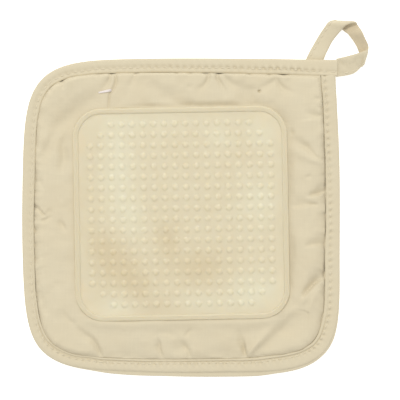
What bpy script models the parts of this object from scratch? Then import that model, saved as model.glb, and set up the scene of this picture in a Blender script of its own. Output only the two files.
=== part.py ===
"""Square quilted pot holder with a silicone grip patch and a hanging loop, lying on its back.

Sizes are in millimetres, and each mesh is turned into metres as its object is made.
Seen from the front, x runs to the right and y up; z runs from the back to the front.
The origin is in the middle of the back, on the surface that the pot holder lies on.
"""

import math
from collections import namedtuple

import bmesh
import bpy
import numpy as np

MM = 0.001
CLEARANCE = 0.3  # between two pieces that touch

# ---- Outline of the holder, without its loop

HALF_SIZE = 100.0  # nominal half of the cut square
REACH_LEFT, REACH_RIGHT, REACH_TOP, REACH_BOTTOM = 99.9, 100.0, 100.1, 100.1

# Each quarter of the outline: the exponent of its superellipse (6 is a wide round corner, 200 a nearly
# square one), and the share by which its upright side and its level side have fallen back at the corner.
Quarter = namedtuple("Quarter", "exponent upright_bow level_bow")
TOP_LEFT = Quarter(6.1, 0.028, 0.029)
BOTTOM_LEFT = Quarter(7.1, 0.046, 0.090)
BOTTOM_RIGHT = Quarter(6.2, 0.0, 0.040)
TOP_RIGHT = Quarter(200.0, 0.035, 0.015)
LEAST_CORNER_GAP = 0.6  # how far a drawn-in corner's curve stays inside its square, on the diagonal

# ---- Pad

PAD_CELLS = 32  # cells of the pad's grid across the square
PAD_EDGE_INSET = 2.2  # from the outside of the binding to the cut edge of the pad
PAD_EDGE_BOTTOM, PAD_EDGE_TOP = 1.5, 3.7  # the edge is pressed thin inside the binding
MARGIN_TOP = 7.2  # height of the puffed cloth between the binding and the patch
PUFF_RUN = 4.5  # how far from the binding the puff takes to rise by two thirds
BACK_RUN = 3.0  # and the same for the back, down to the surface it lies on
PATCH_SEAT = 6.7  # height of the cloth at the border of the patch
CROWN = 1.1  # further rise to the middle of the patch
SEAT_FADE = 5.0  # how far outside the patch the margin takes to rise from the seat
SEAT_SQUARENESS = 6.0  # exponent of the superellipse that stands for the patch's border there

# Rings of the pad from its edge inwards. Some are measured from the inner edge of the binding.
Ring = namedtuple("Ring", "from_outline from_binding")
PAD_RINGS = (
    Ring(PAD_EDGE_INSET, None),
    Ring(None, -0.5),
    Ring(None, 0.5),
    Ring(None, 2.0),
    Ring(None, 4.5),
    Ring(None, 8.0),
    Ring(None, 12.5),
    Ring(None, 17.5),
    Ring(32.0, None),
    Ring(38.0, None),
    Ring(46.0, None),
    Ring(56.0, None),
    Ring(67.0, None),
    Ring(78.0, None),
    Ring(89.0, None),
    Ring(100.0, None),
)

# Folds in the front, each a soft trough (or a ridge where depth is below zero) from one end to the other.
Fold = namedtuple("Fold", "x0 y0 x1 y1 depth width")
FOLDS = (
    Fold(-52.0, 77.0, -70.0, 65.0, 1.1, 5.0),
    Fold(-70.0, 65.0, -85.0, 42.0, 0.9, 5.0),
    Fold(-74.0, 44.0, -75.0, 31.0, 0.5, 4.0),
    Fold(-45.0, 86.0, -44.8, 68.0, 0.7, 3.5),
    Fold(41.0, 88.0, 42.0, 76.0, 0.8, 5.0),
    Fold(58.0, 87.0, 68.0, 80.0, 0.6, 4.0),
    Fold(58.0, 74.0, 72.0, 59.0, 0.9, 4.5),
    Fold(72.0, 50.0, 84.0, 41.0, 0.7, 4.5),
    Fold(70.0, 11.0, 91.0, 18.0, 1.3, 4.5),
    Fold(80.0, -18.0, 91.0, -14.0, 0.8, 4.0),
    Fold(79.0, -46.0, 90.0, -37.0, 1.3, 4.0),
    Fold(84.0, -48.0, 90.0, -44.0, -0.7, 4.0),
    Fold(75.0, -57.0, 52.0, -80.0, 1.2, 5.5),
    Fold(38.0, -76.0, 42.0, -89.0, 0.9, 3.5),
    Fold(-15.0, -75.0, -9.0, -89.0, 1.0, 4.0),
    Fold(-6.0, -80.0, -4.0, -88.0, -0.6, 4.0),
    Fold(4.0, -76.0, 5.5, -88.0, 0.8, 3.5),
    Fold(-74.0, -57.0, -57.0, -71.0, 0.9, 5.0),
    Fold(-57.0, -71.0, -48.0, -87.0, 0.9, 5.0),
)

# ---- Binding

# Width of the tape on the front, at these directions from the middle, in degrees anticlockwise from +x.
TapeWidth = namedtuple("TapeWidth", "direction width")
TAPE_WIDTHS = (
    TapeWidth(-316.0, 11.6),
    TapeWidth(-304.0, 9.2),
    TapeWidth(-285.0, 9.1),
    TapeWidth(-240.0, 8.5),
    TapeWidth(-220.0, 7.2),
    TapeWidth(-180.0, 7.1),
    TapeWidth(-150.0, 7.4),
    TapeWidth(-120.0, 9.2),
    TapeWidth(-90.0, 10.0),
    TapeWidth(-60.0, 9.4),
    TapeWidth(-35.0, 9.2),
    TapeWidth(-15.0, 9.9),
    TapeWidth(0.0, 9.3),
    TapeWidth(25.0, 9.6),
    TapeWidth(42.0, 10.2),
)
BINDING_START = 0.878  # on the right side, just under the end of the top run, as a share of the half size
BINDING_LAST = 0.96  # the last section on the top side, as such a share
BINDING_END_X = 97.7  # where the top run ends, straight on from there, and the loop goes on
BINDING_SIDE_SECTIONS = 26  # sections of the tape on each side of the square

# Section of the folded tape, round from its outermost point over the front. The first two columns add up
# to the distance in from the outline: a length, and a share of the tape's width.
TapePoint = namedtuple("TapePoint", "inwards share height")
TAPE_SECTION = (
    TapePoint(0.0, 0.0, 2.7),
    TapePoint(0.9, 0.0, 4.6),
    TapePoint(0.0, 0.42, 5.5),
    TapePoint(-2.4, 1.0, 5.0),
    TapePoint(-1.0, 1.0, 5.2),
    TapePoint(0.0, 1.0, 4.6),
    TapePoint(0.0, 1.0, PAD_EDGE_TOP + CLEARANCE),
    TapePoint(1.7, 0.0, PAD_EDGE_TOP + CLEARANCE),
    TapePoint(1.7, 0.0, PAD_EDGE_BOTTOM - CLEARANCE),
    TapePoint(0.0, 1.0, PAD_EDGE_BOTTOM - CLEARANCE),
    TapePoint(-0.6, 1.0, 0.0),
    TapePoint(1.3, 0.0, 0.0),
)

# ---- Hanging loop

LOOP_EDGE_SHARE = 0.12  # share of the width over which each edge is rounded off
LOOP_STEPS = 4  # sections between two rows of the table

# Sections of the loop, from behind the top binding round to the square corner: both edges of the tape, the
# one outside the loop and the one inside it, on the legs. The tape is folded over at "fold" rows. It is
# sewn shut, and opens out to the binding's thickness at the square corner.
LoopSection = namedtuple("LoopSection", "place outer_x outer_y outer_z inner_x inner_y inner_z thickness")
LOOP_SECTIONS = (
    LoopSection("behind the binding", 78.7, 99.4, 2.4, 89.6, 99.4, 2.4, 1.8),
    LoopSection("upper leg", 83.1, 108.5, 2.8, 92.1, 104.3, 3.2, 1.5),
    LoopSection("upper leg", 88.0, 116.0, 3.2, 95.9, 111.9, 4.2, 1.5),
    LoopSection("upper leg", 91.6, 120.8, 3.3, 100.6, 117.4, 5.0, 1.5),
    LoopSection("before the fold", 93.7, 122.5, 3.0, 105.0, 121.2, 5.2, 1.5),
    LoopSection("fold", 94.5, 123.1, 2.1, 109.6, 122.6, 3.6, 1.4),
    LoopSection("under the leg", 96.5, 121.8, 0.9, 111.8, 121.0, 1.6, 1.5),
    LoopSection("tip", 103.8, 116.7, 0.9, 115.4, 114.9, 2.2, 1.5),
    LoopSection("tip", 107.9, 111.9, 0.9, 117.0, 111.0, 2.4, 1.5),
    LoopSection("under the leg", 112.0, 102.6, 0.9, 117.9, 107.2, 1.9, 1.5),
    LoopSection("fold", 115.5, 95.6, 2.1, 117.8, 106.2, 3.3, 1.4),
    LoopSection("after the fold", 113.8, 93.6, 3.4, 115.6, 105.0, 4.5, 1.5),
    LoopSection("lower leg", 108.6, 90.2, 3.2, 109.8, 102.4, 3.8, 1.6),
    LoopSection("square corner", 98.0, 87.2, 2.7, 98.0, 99.4, 2.7, 4.4),
)

# ---- Grip patch

PATCH_WIDTH, PATCH_HEIGHT = 134.5, 133.5
PATCH_MIDDLE = (0.3, 2.4)
PATCH_TURN = 1.0  # degrees anticlockwise
PATCH_CORNER = 18.0  # radius
PATCH_CORNER_STEPS = 6
PATCH_SHEET = 1.2  # thickness of the moulded sheet
RIM_WIDTH, RIM_RISE = 3.5, 0.8
DOT_ROWS = 18  # and as many columns
DOTS_CUT_AT_CORNERS = (2, 1)  # dots left out at each end of the first rows and of the last
DOT_PITCH = 6.64
DOT_RADIUS, DOT_RISE = 2.05, 0.9
DOT_SIDES = 6
DOT_ROOT = 0.4  # how far a dot is sunk into the sheet
BEND_LINES = (-6, -3, 0, 3, 6)  # in pitches from the middle: lines between dots where the sheet can bend


def evenly_open(exponent, inset):
    """The exponent of a corner drawn in by inset with its sides, so that the band between is even."""
    diagonal = math.sqrt(2.0)
    gap = (1 - 2 ** (-1 / exponent)) * HALF_SIZE * diagonal
    gap_inside = np.maximum(gap - (diagonal - 1) * inset, LEAST_CORNER_GAP)
    half = np.maximum(HALF_SIZE - inset, LEAST_CORNER_GAP)
    share = np.clip(gap_inside / (half * diagonal), 0.001, 0.3)
    return -1 / np.log2(1 - share)


def outline(angle, inset):
    """Points of the holder's edge at these angles, drawn in by inset.

    Each quarter is a superellipse with its own exponent, and its sides bow outwards.
    """
    across, up = np.cos(angle), np.sin(angle)
    right, top = across >= 0, up >= 0
    quarters = np.array([BOTTOM_LEFT, BOTTOM_RIGHT, TOP_LEFT, TOP_RIGHT])
    exponent, upright_bow, level_bow = quarters[right + 2 * top].T
    power = evenly_open(exponent, inset)
    radius = (np.abs(across) ** power + np.abs(up) ** power) ** (-1 / power)
    u, v = radius * across, radius * up
    reach_x = np.where(right, REACH_RIGHT, REACH_LEFT) - inset
    reach_y = np.where(top, REACH_TOP, REACH_BOTTOM) - inset
    return np.stack([u * reach_x * (1 - upright_bow * v**2), v * reach_y * (1 - level_bow * u**2)], axis=-1)


def tape_width(angle):
    """Width of the binding on the front at these angles, read from its table round the whole edge."""
    directions = [row.direction for row in TAPE_WIDTHS]
    first = directions[0]
    turned = first + np.mod(np.degrees(angle) - first, 360.0)
    return np.interp(turned, directions, [row.width for row in TAPE_WIDTHS])


def fold_depth(x, y):
    """How far the folds draw the front in at these points: each falls off as a bell from its line."""
    depth = np.zeros_like(x)
    for fold in FOLDS:
        run_x, run_y = fold.x1 - fold.x0, fold.y1 - fold.y0
        along = ((x - fold.x0) * run_x + (y - fold.y0) * run_y) / (run_x**2 + run_y**2)
        along = np.clip(along, 0.0, 1.0)
        off = np.hypot(x - fold.x0 - along * run_x, y - fold.y0 - along * run_y)
        depth += fold.depth * np.exp(-((off / fold.width) ** 2))
    return depth


def seat_height(x, y):
    """Height of the low crown that the patch lies on."""
    off_middle = np.hypot(x - PATCH_MIDDLE[0], y - PATCH_MIDDLE[1]) / (PATCH_WIDTH / 2)
    return PATCH_SEAT + CROWN * np.maximum(1 - off_middle**2 / 2, 0.0)


def outside_patch(x, y):
    """0 under the patch, rising to 1 a few millimetres outside its border."""
    across = np.abs(x - PATCH_MIDDLE[0]) / (PATCH_WIDTH / 2)
    up = np.abs(y - PATCH_MIDDLE[1]) / (PATCH_HEIGHT / 2)
    radius = (across**SEAT_SQUARENESS + up**SEAT_SQUARENESS) ** (1 / SEAT_SQUARENESS)
    share = np.clip((radius - 1) * PATCH_WIDTH / 2 / SEAT_FADE, 0.0, 1.0)
    return share**2 * (3 - 2 * share)


def front_height(x, y):
    """Height of the pad's front, away from the binding: a low crown under the patch and a puffed margin."""
    seat = seat_height(x, y)
    return seat + outside_patch(x, y) * (MARGIN_TOP - fold_depth(x, y) - seat)


def in_metres(name, form):
    """A bmesh in millimetres as a mesh in metres, its faces outward."""
    bmesh.ops.recalc_face_normals(form, faces=form.faces)
    bmesh.ops.scale(form, vec=(MM, MM, MM), verts=form.verts)
    mesh = bpy.data.meshes.new(name)
    form.to_mesh(mesh)
    form.free()
    return mesh


def finish(name, form, collection, material, sharp_from=50):
    """Makes the bmesh the object of a piece, smooth but for edges sharper than sharp_from degrees."""
    mesh = in_metres(name, form)
    mesh.shade_smooth()
    mesh.set_sharp_from_angle(angle=math.radians(sharp_from))
    mesh.materials.append(material)
    collection.objects.link(bpy.data.objects.new(name, mesh))


def helper(name, mesh, collection):
    """Makes the mesh an object that only helps to shape another: drawn in wire and not rendered."""
    made = bpy.data.objects.new(name, mesh)
    made.hide_render = True
    made.display_type = "WIRE"
    collection.objects.link(made)
    return made


def loft(sections):
    """A closed body through like sections, an array of (section, point, xyz), capped at both ends."""
    form = bmesh.new()
    rings = [[form.verts.new(point) for point in section] for section in sections]
    for ring, following in zip(rings, rings[1:]):
        for i in range(len(ring)):
            j = (i + 1) % len(ring)
            form.faces.new((ring[i], ring[j], following[j], following[i]))
    caps = [form.faces.new(rings[0][::-1]), form.faces.new(rings[-1])]
    bmesh.ops.triangulate(form, faces=caps)
    return form


def through(rows, steps):
    """A smooth curve through the rows of a table: Catmull-Rom, with steps between two rows."""
    padded = np.vstack([2 * rows[0] - rows[1], rows, 2 * rows[-1] - rows[-2]])
    t = (np.arange(steps) / steps)[:, None]
    pieces = []
    for a, b, c, d in zip(padded, padded[1:], padded[2:], padded[3:]):
        pieces.append(
            b
            + (c - a) / 2 * t
            + (2 * a - 5 * b + 4 * c - d) / 2 * t**2
            + (3 * b - a - 3 * c + d) / 2 * t**3
        )
    return np.vstack([*pieces, rows[-1]])


def pad(collection, material):
    """The filled pad: a grid of square rings, drawn to the outline and raised into front and back."""
    form = bmesh.new()
    bmesh.ops.create_grid(form, x_segments=PAD_CELLS, y_segments=PAD_CELLS, size=1.0)
    grown = bmesh.ops.extrude_face_region(form, geom=form.faces[:])
    front = {item for item in grown["geom"] if isinstance(item, bmesh.types.BMVert)}

    plane = np.array([vert.co[:2] for vert in form.verts])
    off_middle = np.abs(plane).max(axis=1)
    ring = np.rint((1 - off_middle) * PAD_CELLS / 2).astype(int)
    angle = np.arctan2(plane[:, 1], plane[:, 0])
    width = tape_width(angle)
    insets = np.array(
        [
            np.full_like(width, row.from_outline) if row.from_binding is None else width + row.from_binding
            for row in (*PAD_RINGS, Ring(HALF_SIZE, None))
        ]
    )
    inset = insets[ring, np.arange(len(ring))]
    place = outline(angle, inset)
    place[off_middle == 0] = 0.0
    inside = np.maximum(inset - width, 0.0)
    rise = 1 - np.exp(-inside / PUFF_RUN)
    top = PAD_EDGE_TOP + rise * (front_height(place[:, 0], place[:, 1]) - PAD_EDGE_TOP)
    bottom = PAD_EDGE_BOTTOM * np.clip(1 - inside / BACK_RUN, 0.0, 1.0)
    for vert, (x, y), high, low in zip(form.verts, place, top, bottom):
        vert.co = (x, y, high if vert in front else low)

    flat = [face for face in form.faces if all(vert.co.z == 0 for vert in face.verts)]
    bmesh.ops.dissolve_faces(form, faces=flat, use_verts=True)
    bmesh.ops.triangulate(form, faces=form.faces[:])
    finish("pad", form, collection, material)


def binding_angles():
    """Angles of the tape's sections, clockwise from the right side round to the top of the square corner.

    They are evenly spaced on each side of a square about the middle.
    """
    stops = np.array([(1, BINDING_START), (1, -1), (-1, -1), (-1, 1), (BINDING_LAST, 1)])
    share = np.arange(BINDING_SIDE_SECTIONS)[:, None] / BINDING_SIDE_SECTIONS
    sides = [start + share * (end - start) for start, end in zip(stops, stops[1:])]
    places = np.vstack([*sides, stops[-1]])
    return np.unwrap(np.arctan2(places[:, 1], places[:, 0]))


def binding(collection, material):
    """The tape folded over the edge: a channel section carried round the outline at the table's widths."""
    angle = binding_angles()
    width = tape_width(angle)
    edge = outline(angle, 0.0)
    small_turn = 1e-4
    along = outline(angle - small_turn, 0.0) - outline(angle + small_turn, 0.0)
    inwards = np.stack([along[:, 1], -along[:, 0]], axis=-1)
    inwards /= np.linalg.norm(inwards, axis=1, keepdims=True)
    sections = np.empty((len(angle), len(TAPE_SECTION), 3))
    for i, point in enumerate(TAPE_SECTION):
        inset = point.inwards + point.share * width
        sections[:, i, :2] = edge + inset[:, None] * inwards
        sections[:, i, 2] = point.height
    end = sections[-1:] + [BINDING_END_X - edge[-1, 0], 0.0, 0.0]
    finish("binding", loft(np.concatenate([sections, end])), collection, material)


def loop_tape(collection, material):
    """The hanging loop: a flat tube of tape lofted through its table, thick along the tape's own normal."""
    sections = through(np.array([row[1:] for row in LOOP_SECTIONS]), LOOP_STEPS)
    outer, inner, thickness = sections[:, 0:3], sections[:, 3:6], sections[:, 6:7]
    ahead = np.gradient((outer + inner) / 2, axis=0)
    normal = np.cross(inner - outer, ahead)
    normal *= thickness / 2 / np.linalg.norm(normal, axis=1, keepdims=True)
    edge = LOOP_EDGE_SHARE * (inner - outer)
    ring = (
        outer,
        outer + edge + normal,
        inner - edge + normal,
        inner,
        inner - edge - normal,
        outer + edge - normal,
    )
    finish("hanging_loop", loft(np.stack(ring, axis=1)), collection, material)


def dots():
    """All the grip dots in one mesh: low six-sided cones sunk into the sheet, in rows with cut corners."""
    form = bmesh.new()
    middle = (DOT_ROWS - 1) / 2
    for row in range(DOT_ROWS):
        from_end = min(row, DOT_ROWS - 1 - row)
        cut = DOTS_CUT_AT_CORNERS[from_end] if from_end < len(DOTS_CUT_AT_CORNERS) else 0
        for column in range(cut, DOT_ROWS - cut):
            made = bmesh.ops.create_cone(
                form,
                cap_ends=True,
                segments=DOT_SIDES,
                radius1=DOT_RADIUS,
                radius2=0.0,
                depth=DOT_RISE + DOT_ROOT,
            )
            x, y = (column - middle) * DOT_PITCH, (row - middle) * DOT_PITCH
            z = PATCH_SHEET + (DOT_RISE - DOT_ROOT) / 2
            bmesh.ops.translate(form, vec=(x, y, z), verts=made["verts"])
    return in_metres("dots", form)


def patch_sheet():
    """The moulded sheet, flat: a square with round corners, inset, and its outer ring raised as a rim."""
    form = bmesh.new()
    bmesh.ops.create_grid(form, x_segments=1, y_segments=1, size=0.5)
    bmesh.ops.scale(form, vec=(PATCH_WIDTH, PATCH_HEIGHT, 1), verts=form.verts)
    bmesh.ops.bevel(
        form,
        geom=form.verts[:],
        offset=PATCH_CORNER,
        segments=PATCH_CORNER_STEPS,
        profile=0.5,
        affect="VERTICES",
        clamp_overlap=False,
    )
    whole = bmesh.ops.extrude_face_region(form, geom=form.faces[:])
    upper = [item for item in whole["geom"] if isinstance(item, bmesh.types.BMFace)]
    raised = [item for item in whole["geom"] if isinstance(item, bmesh.types.BMVert)]
    bmesh.ops.translate(form, vec=(0, 0, PATCH_SHEET), verts=raised)
    ring = bmesh.ops.inset_region(form, faces=upper, thickness=RIM_WIDTH, use_even_offset=True)
    rim = bmesh.ops.extrude_face_region(form, geom=ring["faces"])
    lifted = [item for item in rim["geom"] if isinstance(item, bmesh.types.BMVert)]
    bmesh.ops.translate(form, vec=(0, 0, RIM_RISE), verts=lifted)
    bmesh.ops.delete(form, geom=ring["faces"], context="FACES_ONLY")
    return in_metres("patch_sheet", form)


def grip_patch(collection, cutters, material):
    """The sheet and its dots made one body, then laid on the pad's crown."""
    flat = helper("patch_sheet", patch_sheet(), cutters)
    union = flat.modifiers.new("dots", "BOOLEAN")
    union.operation = "UNION"
    union.object = helper("dots", dots(), cutters)
    graph = bpy.context.evaluated_depsgraph_get()
    joined = bpy.data.meshes.new_from_object(flat.evaluated_get(graph))

    form = bmesh.new()
    form.from_mesh(joined)
    bmesh.ops.scale(form, vec=(1 / MM, 1 / MM, 1 / MM), verts=form.verts)
    for pitches in BEND_LINES:
        for across in ((1, 0, 0), (0, 1, 0)):
            where = [pitches * DOT_PITCH * share for share in across]
            everything = form.verts[:] + form.edges[:] + form.faces[:]
            bmesh.ops.bisect_plane(form, geom=everything, plane_co=where, plane_no=across)
    bmesh.ops.triangulate(form, faces=form.faces[:])

    turn = math.radians(PATCH_TURN)
    for vert in form.verts:
        x = vert.co.x * math.cos(turn) - vert.co.y * math.sin(turn) + PATCH_MIDDLE[0]
        y = vert.co.x * math.sin(turn) + vert.co.y * math.cos(turn) + PATCH_MIDDLE[1]
        vert.co = (x, y, vert.co.z + seat_height(x, y) + CLEARANCE)
    finish("grip_patch", form, collection, material, sharp_from=15)


def principled(name, colour, roughness):
    """A plain material of this colour, the same in the renderer and in the solid view."""
    material = bpy.data.materials.new(name)
    material.use_nodes = True
    shader = material.node_tree.nodes["Principled BSDF"]
    shader.inputs["Base Color"].default_value = (*colour, 1.0)
    shader.inputs["Roughness"].default_value = roughness
    shader.inputs["Metallic"].default_value = 0.0
    material.diffuse_color = (*colour, 1.0)
    return material


def main():
    """Clears the scene and makes each piece."""
    for old in list(bpy.data.objects):
        bpy.data.objects.remove(old)
    holder = bpy.data.collections.new("pot_holder")
    cutters = bpy.data.collections.new("cutters")
    for collection in (holder, cutters):
        bpy.context.scene.collection.children.link(collection)

    cotton = principled("cotton_cloth", (0.75, 0.65, 0.46), 0.95)
    tape = principled("cotton_tape", (0.73, 0.64, 0.46), 0.95)
    silicone = principled("silicone", (0.77, 0.71, 0.53), 0.6)
    pad(holder, cotton)
    binding(holder, tape)
    loop_tape(holder, tape)
    grip_patch(holder, cutters, silicone)


main()
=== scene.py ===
"""Looks of a square padded pot holder with a grip patch and a hanging loop, laid flat on its back.

Sizes in the tables are in millimetres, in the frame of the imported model: seen from the front, x runs to
the right and y up, and z out of the front. The origin is in the middle of the back, on the surface that
the pot holder lies on. A mesh gets its metres when its object is made.
"""

import math
from collections import namedtuple

import bpy
import numpy as np
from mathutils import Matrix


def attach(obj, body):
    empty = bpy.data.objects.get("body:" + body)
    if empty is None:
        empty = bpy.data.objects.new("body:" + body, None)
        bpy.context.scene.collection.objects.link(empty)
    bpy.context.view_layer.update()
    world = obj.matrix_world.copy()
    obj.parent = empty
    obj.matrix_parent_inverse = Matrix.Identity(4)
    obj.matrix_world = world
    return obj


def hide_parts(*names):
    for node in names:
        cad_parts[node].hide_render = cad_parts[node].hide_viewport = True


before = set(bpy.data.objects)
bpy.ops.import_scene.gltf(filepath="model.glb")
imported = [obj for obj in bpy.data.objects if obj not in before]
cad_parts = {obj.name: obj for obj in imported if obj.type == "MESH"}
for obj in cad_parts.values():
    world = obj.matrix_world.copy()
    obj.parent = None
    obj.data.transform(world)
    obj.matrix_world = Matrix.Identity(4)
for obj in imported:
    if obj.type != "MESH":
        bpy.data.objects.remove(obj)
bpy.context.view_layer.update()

bl_info = {
    "name": "Padded pot holder",
    "version": (1, 0, 0),
    "blender": (4, 5, 0),
    "location": "3D View > Sidebar > Pot holder",
    "description": "Sews a padded pot holder with a bound edge, a hanging loop and a grip patch",
    "category": "Object",
}

MM = 0.001

# ---- Outline, as in the solids

HALF_SIZE = 100.0  # nominal half of the cut square
REACH_LEFT, REACH_RIGHT, REACH_TOP, REACH_BOTTOM = 99.9, 100.0, 100.1, 100.1
LEAST_CORNER_GAP = 0.3  # how far a drawn-in corner's curve stays inside its square, on the diagonal

# Each quarter of the outline: the exponent of its superellipse, and the share by which its upright side
# and its level side have fallen back at the corner.
Quarter = namedtuple("Quarter", "exponent upright_bow level_bow")
TOP_LEFT = Quarter(6.1, 0.028, 0.029)
BOTTOM_LEFT = Quarter(7.1, 0.046, 0.090)
BOTTOM_RIGHT = Quarter(6.2, 0.0, 0.040)
TOP_RIGHT = Quarter(200.0, 0.035, 0.015)

# ---- Pad

PAD_COLUMNS = 1100  # points round each ring of the pad
PAD_EDGE_INSET = 2.2  # from the outside of the binding to the cut edge of the pad
PAD_EDGE_BOTTOM = 1.5
LEAST_THICK = 0.6  # thinnest that the pad gets
UNDER_TAPE = 3.1  # the most height of the pad under the tape
MARGIN_TOP = 7.7  # height of the puffed cloth between the binding and the patch
BACK_RUN = 3.0  # from the tape in to where the back has come down to the surface it lies on
SEAM_RISE = 0.22  # how far in from the tape the cloth rises out of the seam
PATCH_SEAT = 6.7  # height of the cloth at the border of the patch
CROWN = 1.1  # further rise to the middle of the patch
SEAT_FADE = 1.8  # how far in under the border of the patch the cloth has risen from the seat
SEAT_SQUARENESS = 6.0
FINE_RINGS = 52  # rings of the pad's front that show, from the binding in to under the patch
FINE_TO = 34.0  # distance from the outline of the last of them
FINE_CROWDING = 1.12  # above 1 they lie closer together beside the binding
MIDDLE_RINGS = (40.0, 50.0, 65.0, 82.0, 94.0, 99.5)  # the other rings of the front, in from the outline
BACK_RINGS = (0.8, 1.6, 2.4, 3.2, 5.0)  # rings of the back, in from the tape
BACK_MIDDLE_RINGS = (20.0, 35.0, 55.0, 80.0, 99.5)  # and in from the outline

# Unevenness of cloth that has no shape of its own: how large it is, over what spacing it changes, and the
# seed that it is drawn from.
Drift = namedtuple("Drift", "size spacing seed")
SLACK = (Drift(0.40, 17.0, 3), Drift(0.32, 7.0, 5), Drift(0.12, 3.0, 6))
PUCKERS = (Drift(1.0, 5.0, 21), Drift(0.6, 2.6, 22))  # of the pad, along the binding
PUCKERED, PUCKERED_SIDES = 0.3, 0.8  # their strength all round, and what the left and right sides add
PUCKER_START, PUCKER_RUN = 0.6, 3.2  # how far in from the tape they have begun, and how slowly they fade

FOLD_STEPS = 3  # runs of a fold's line between two of its points

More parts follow.
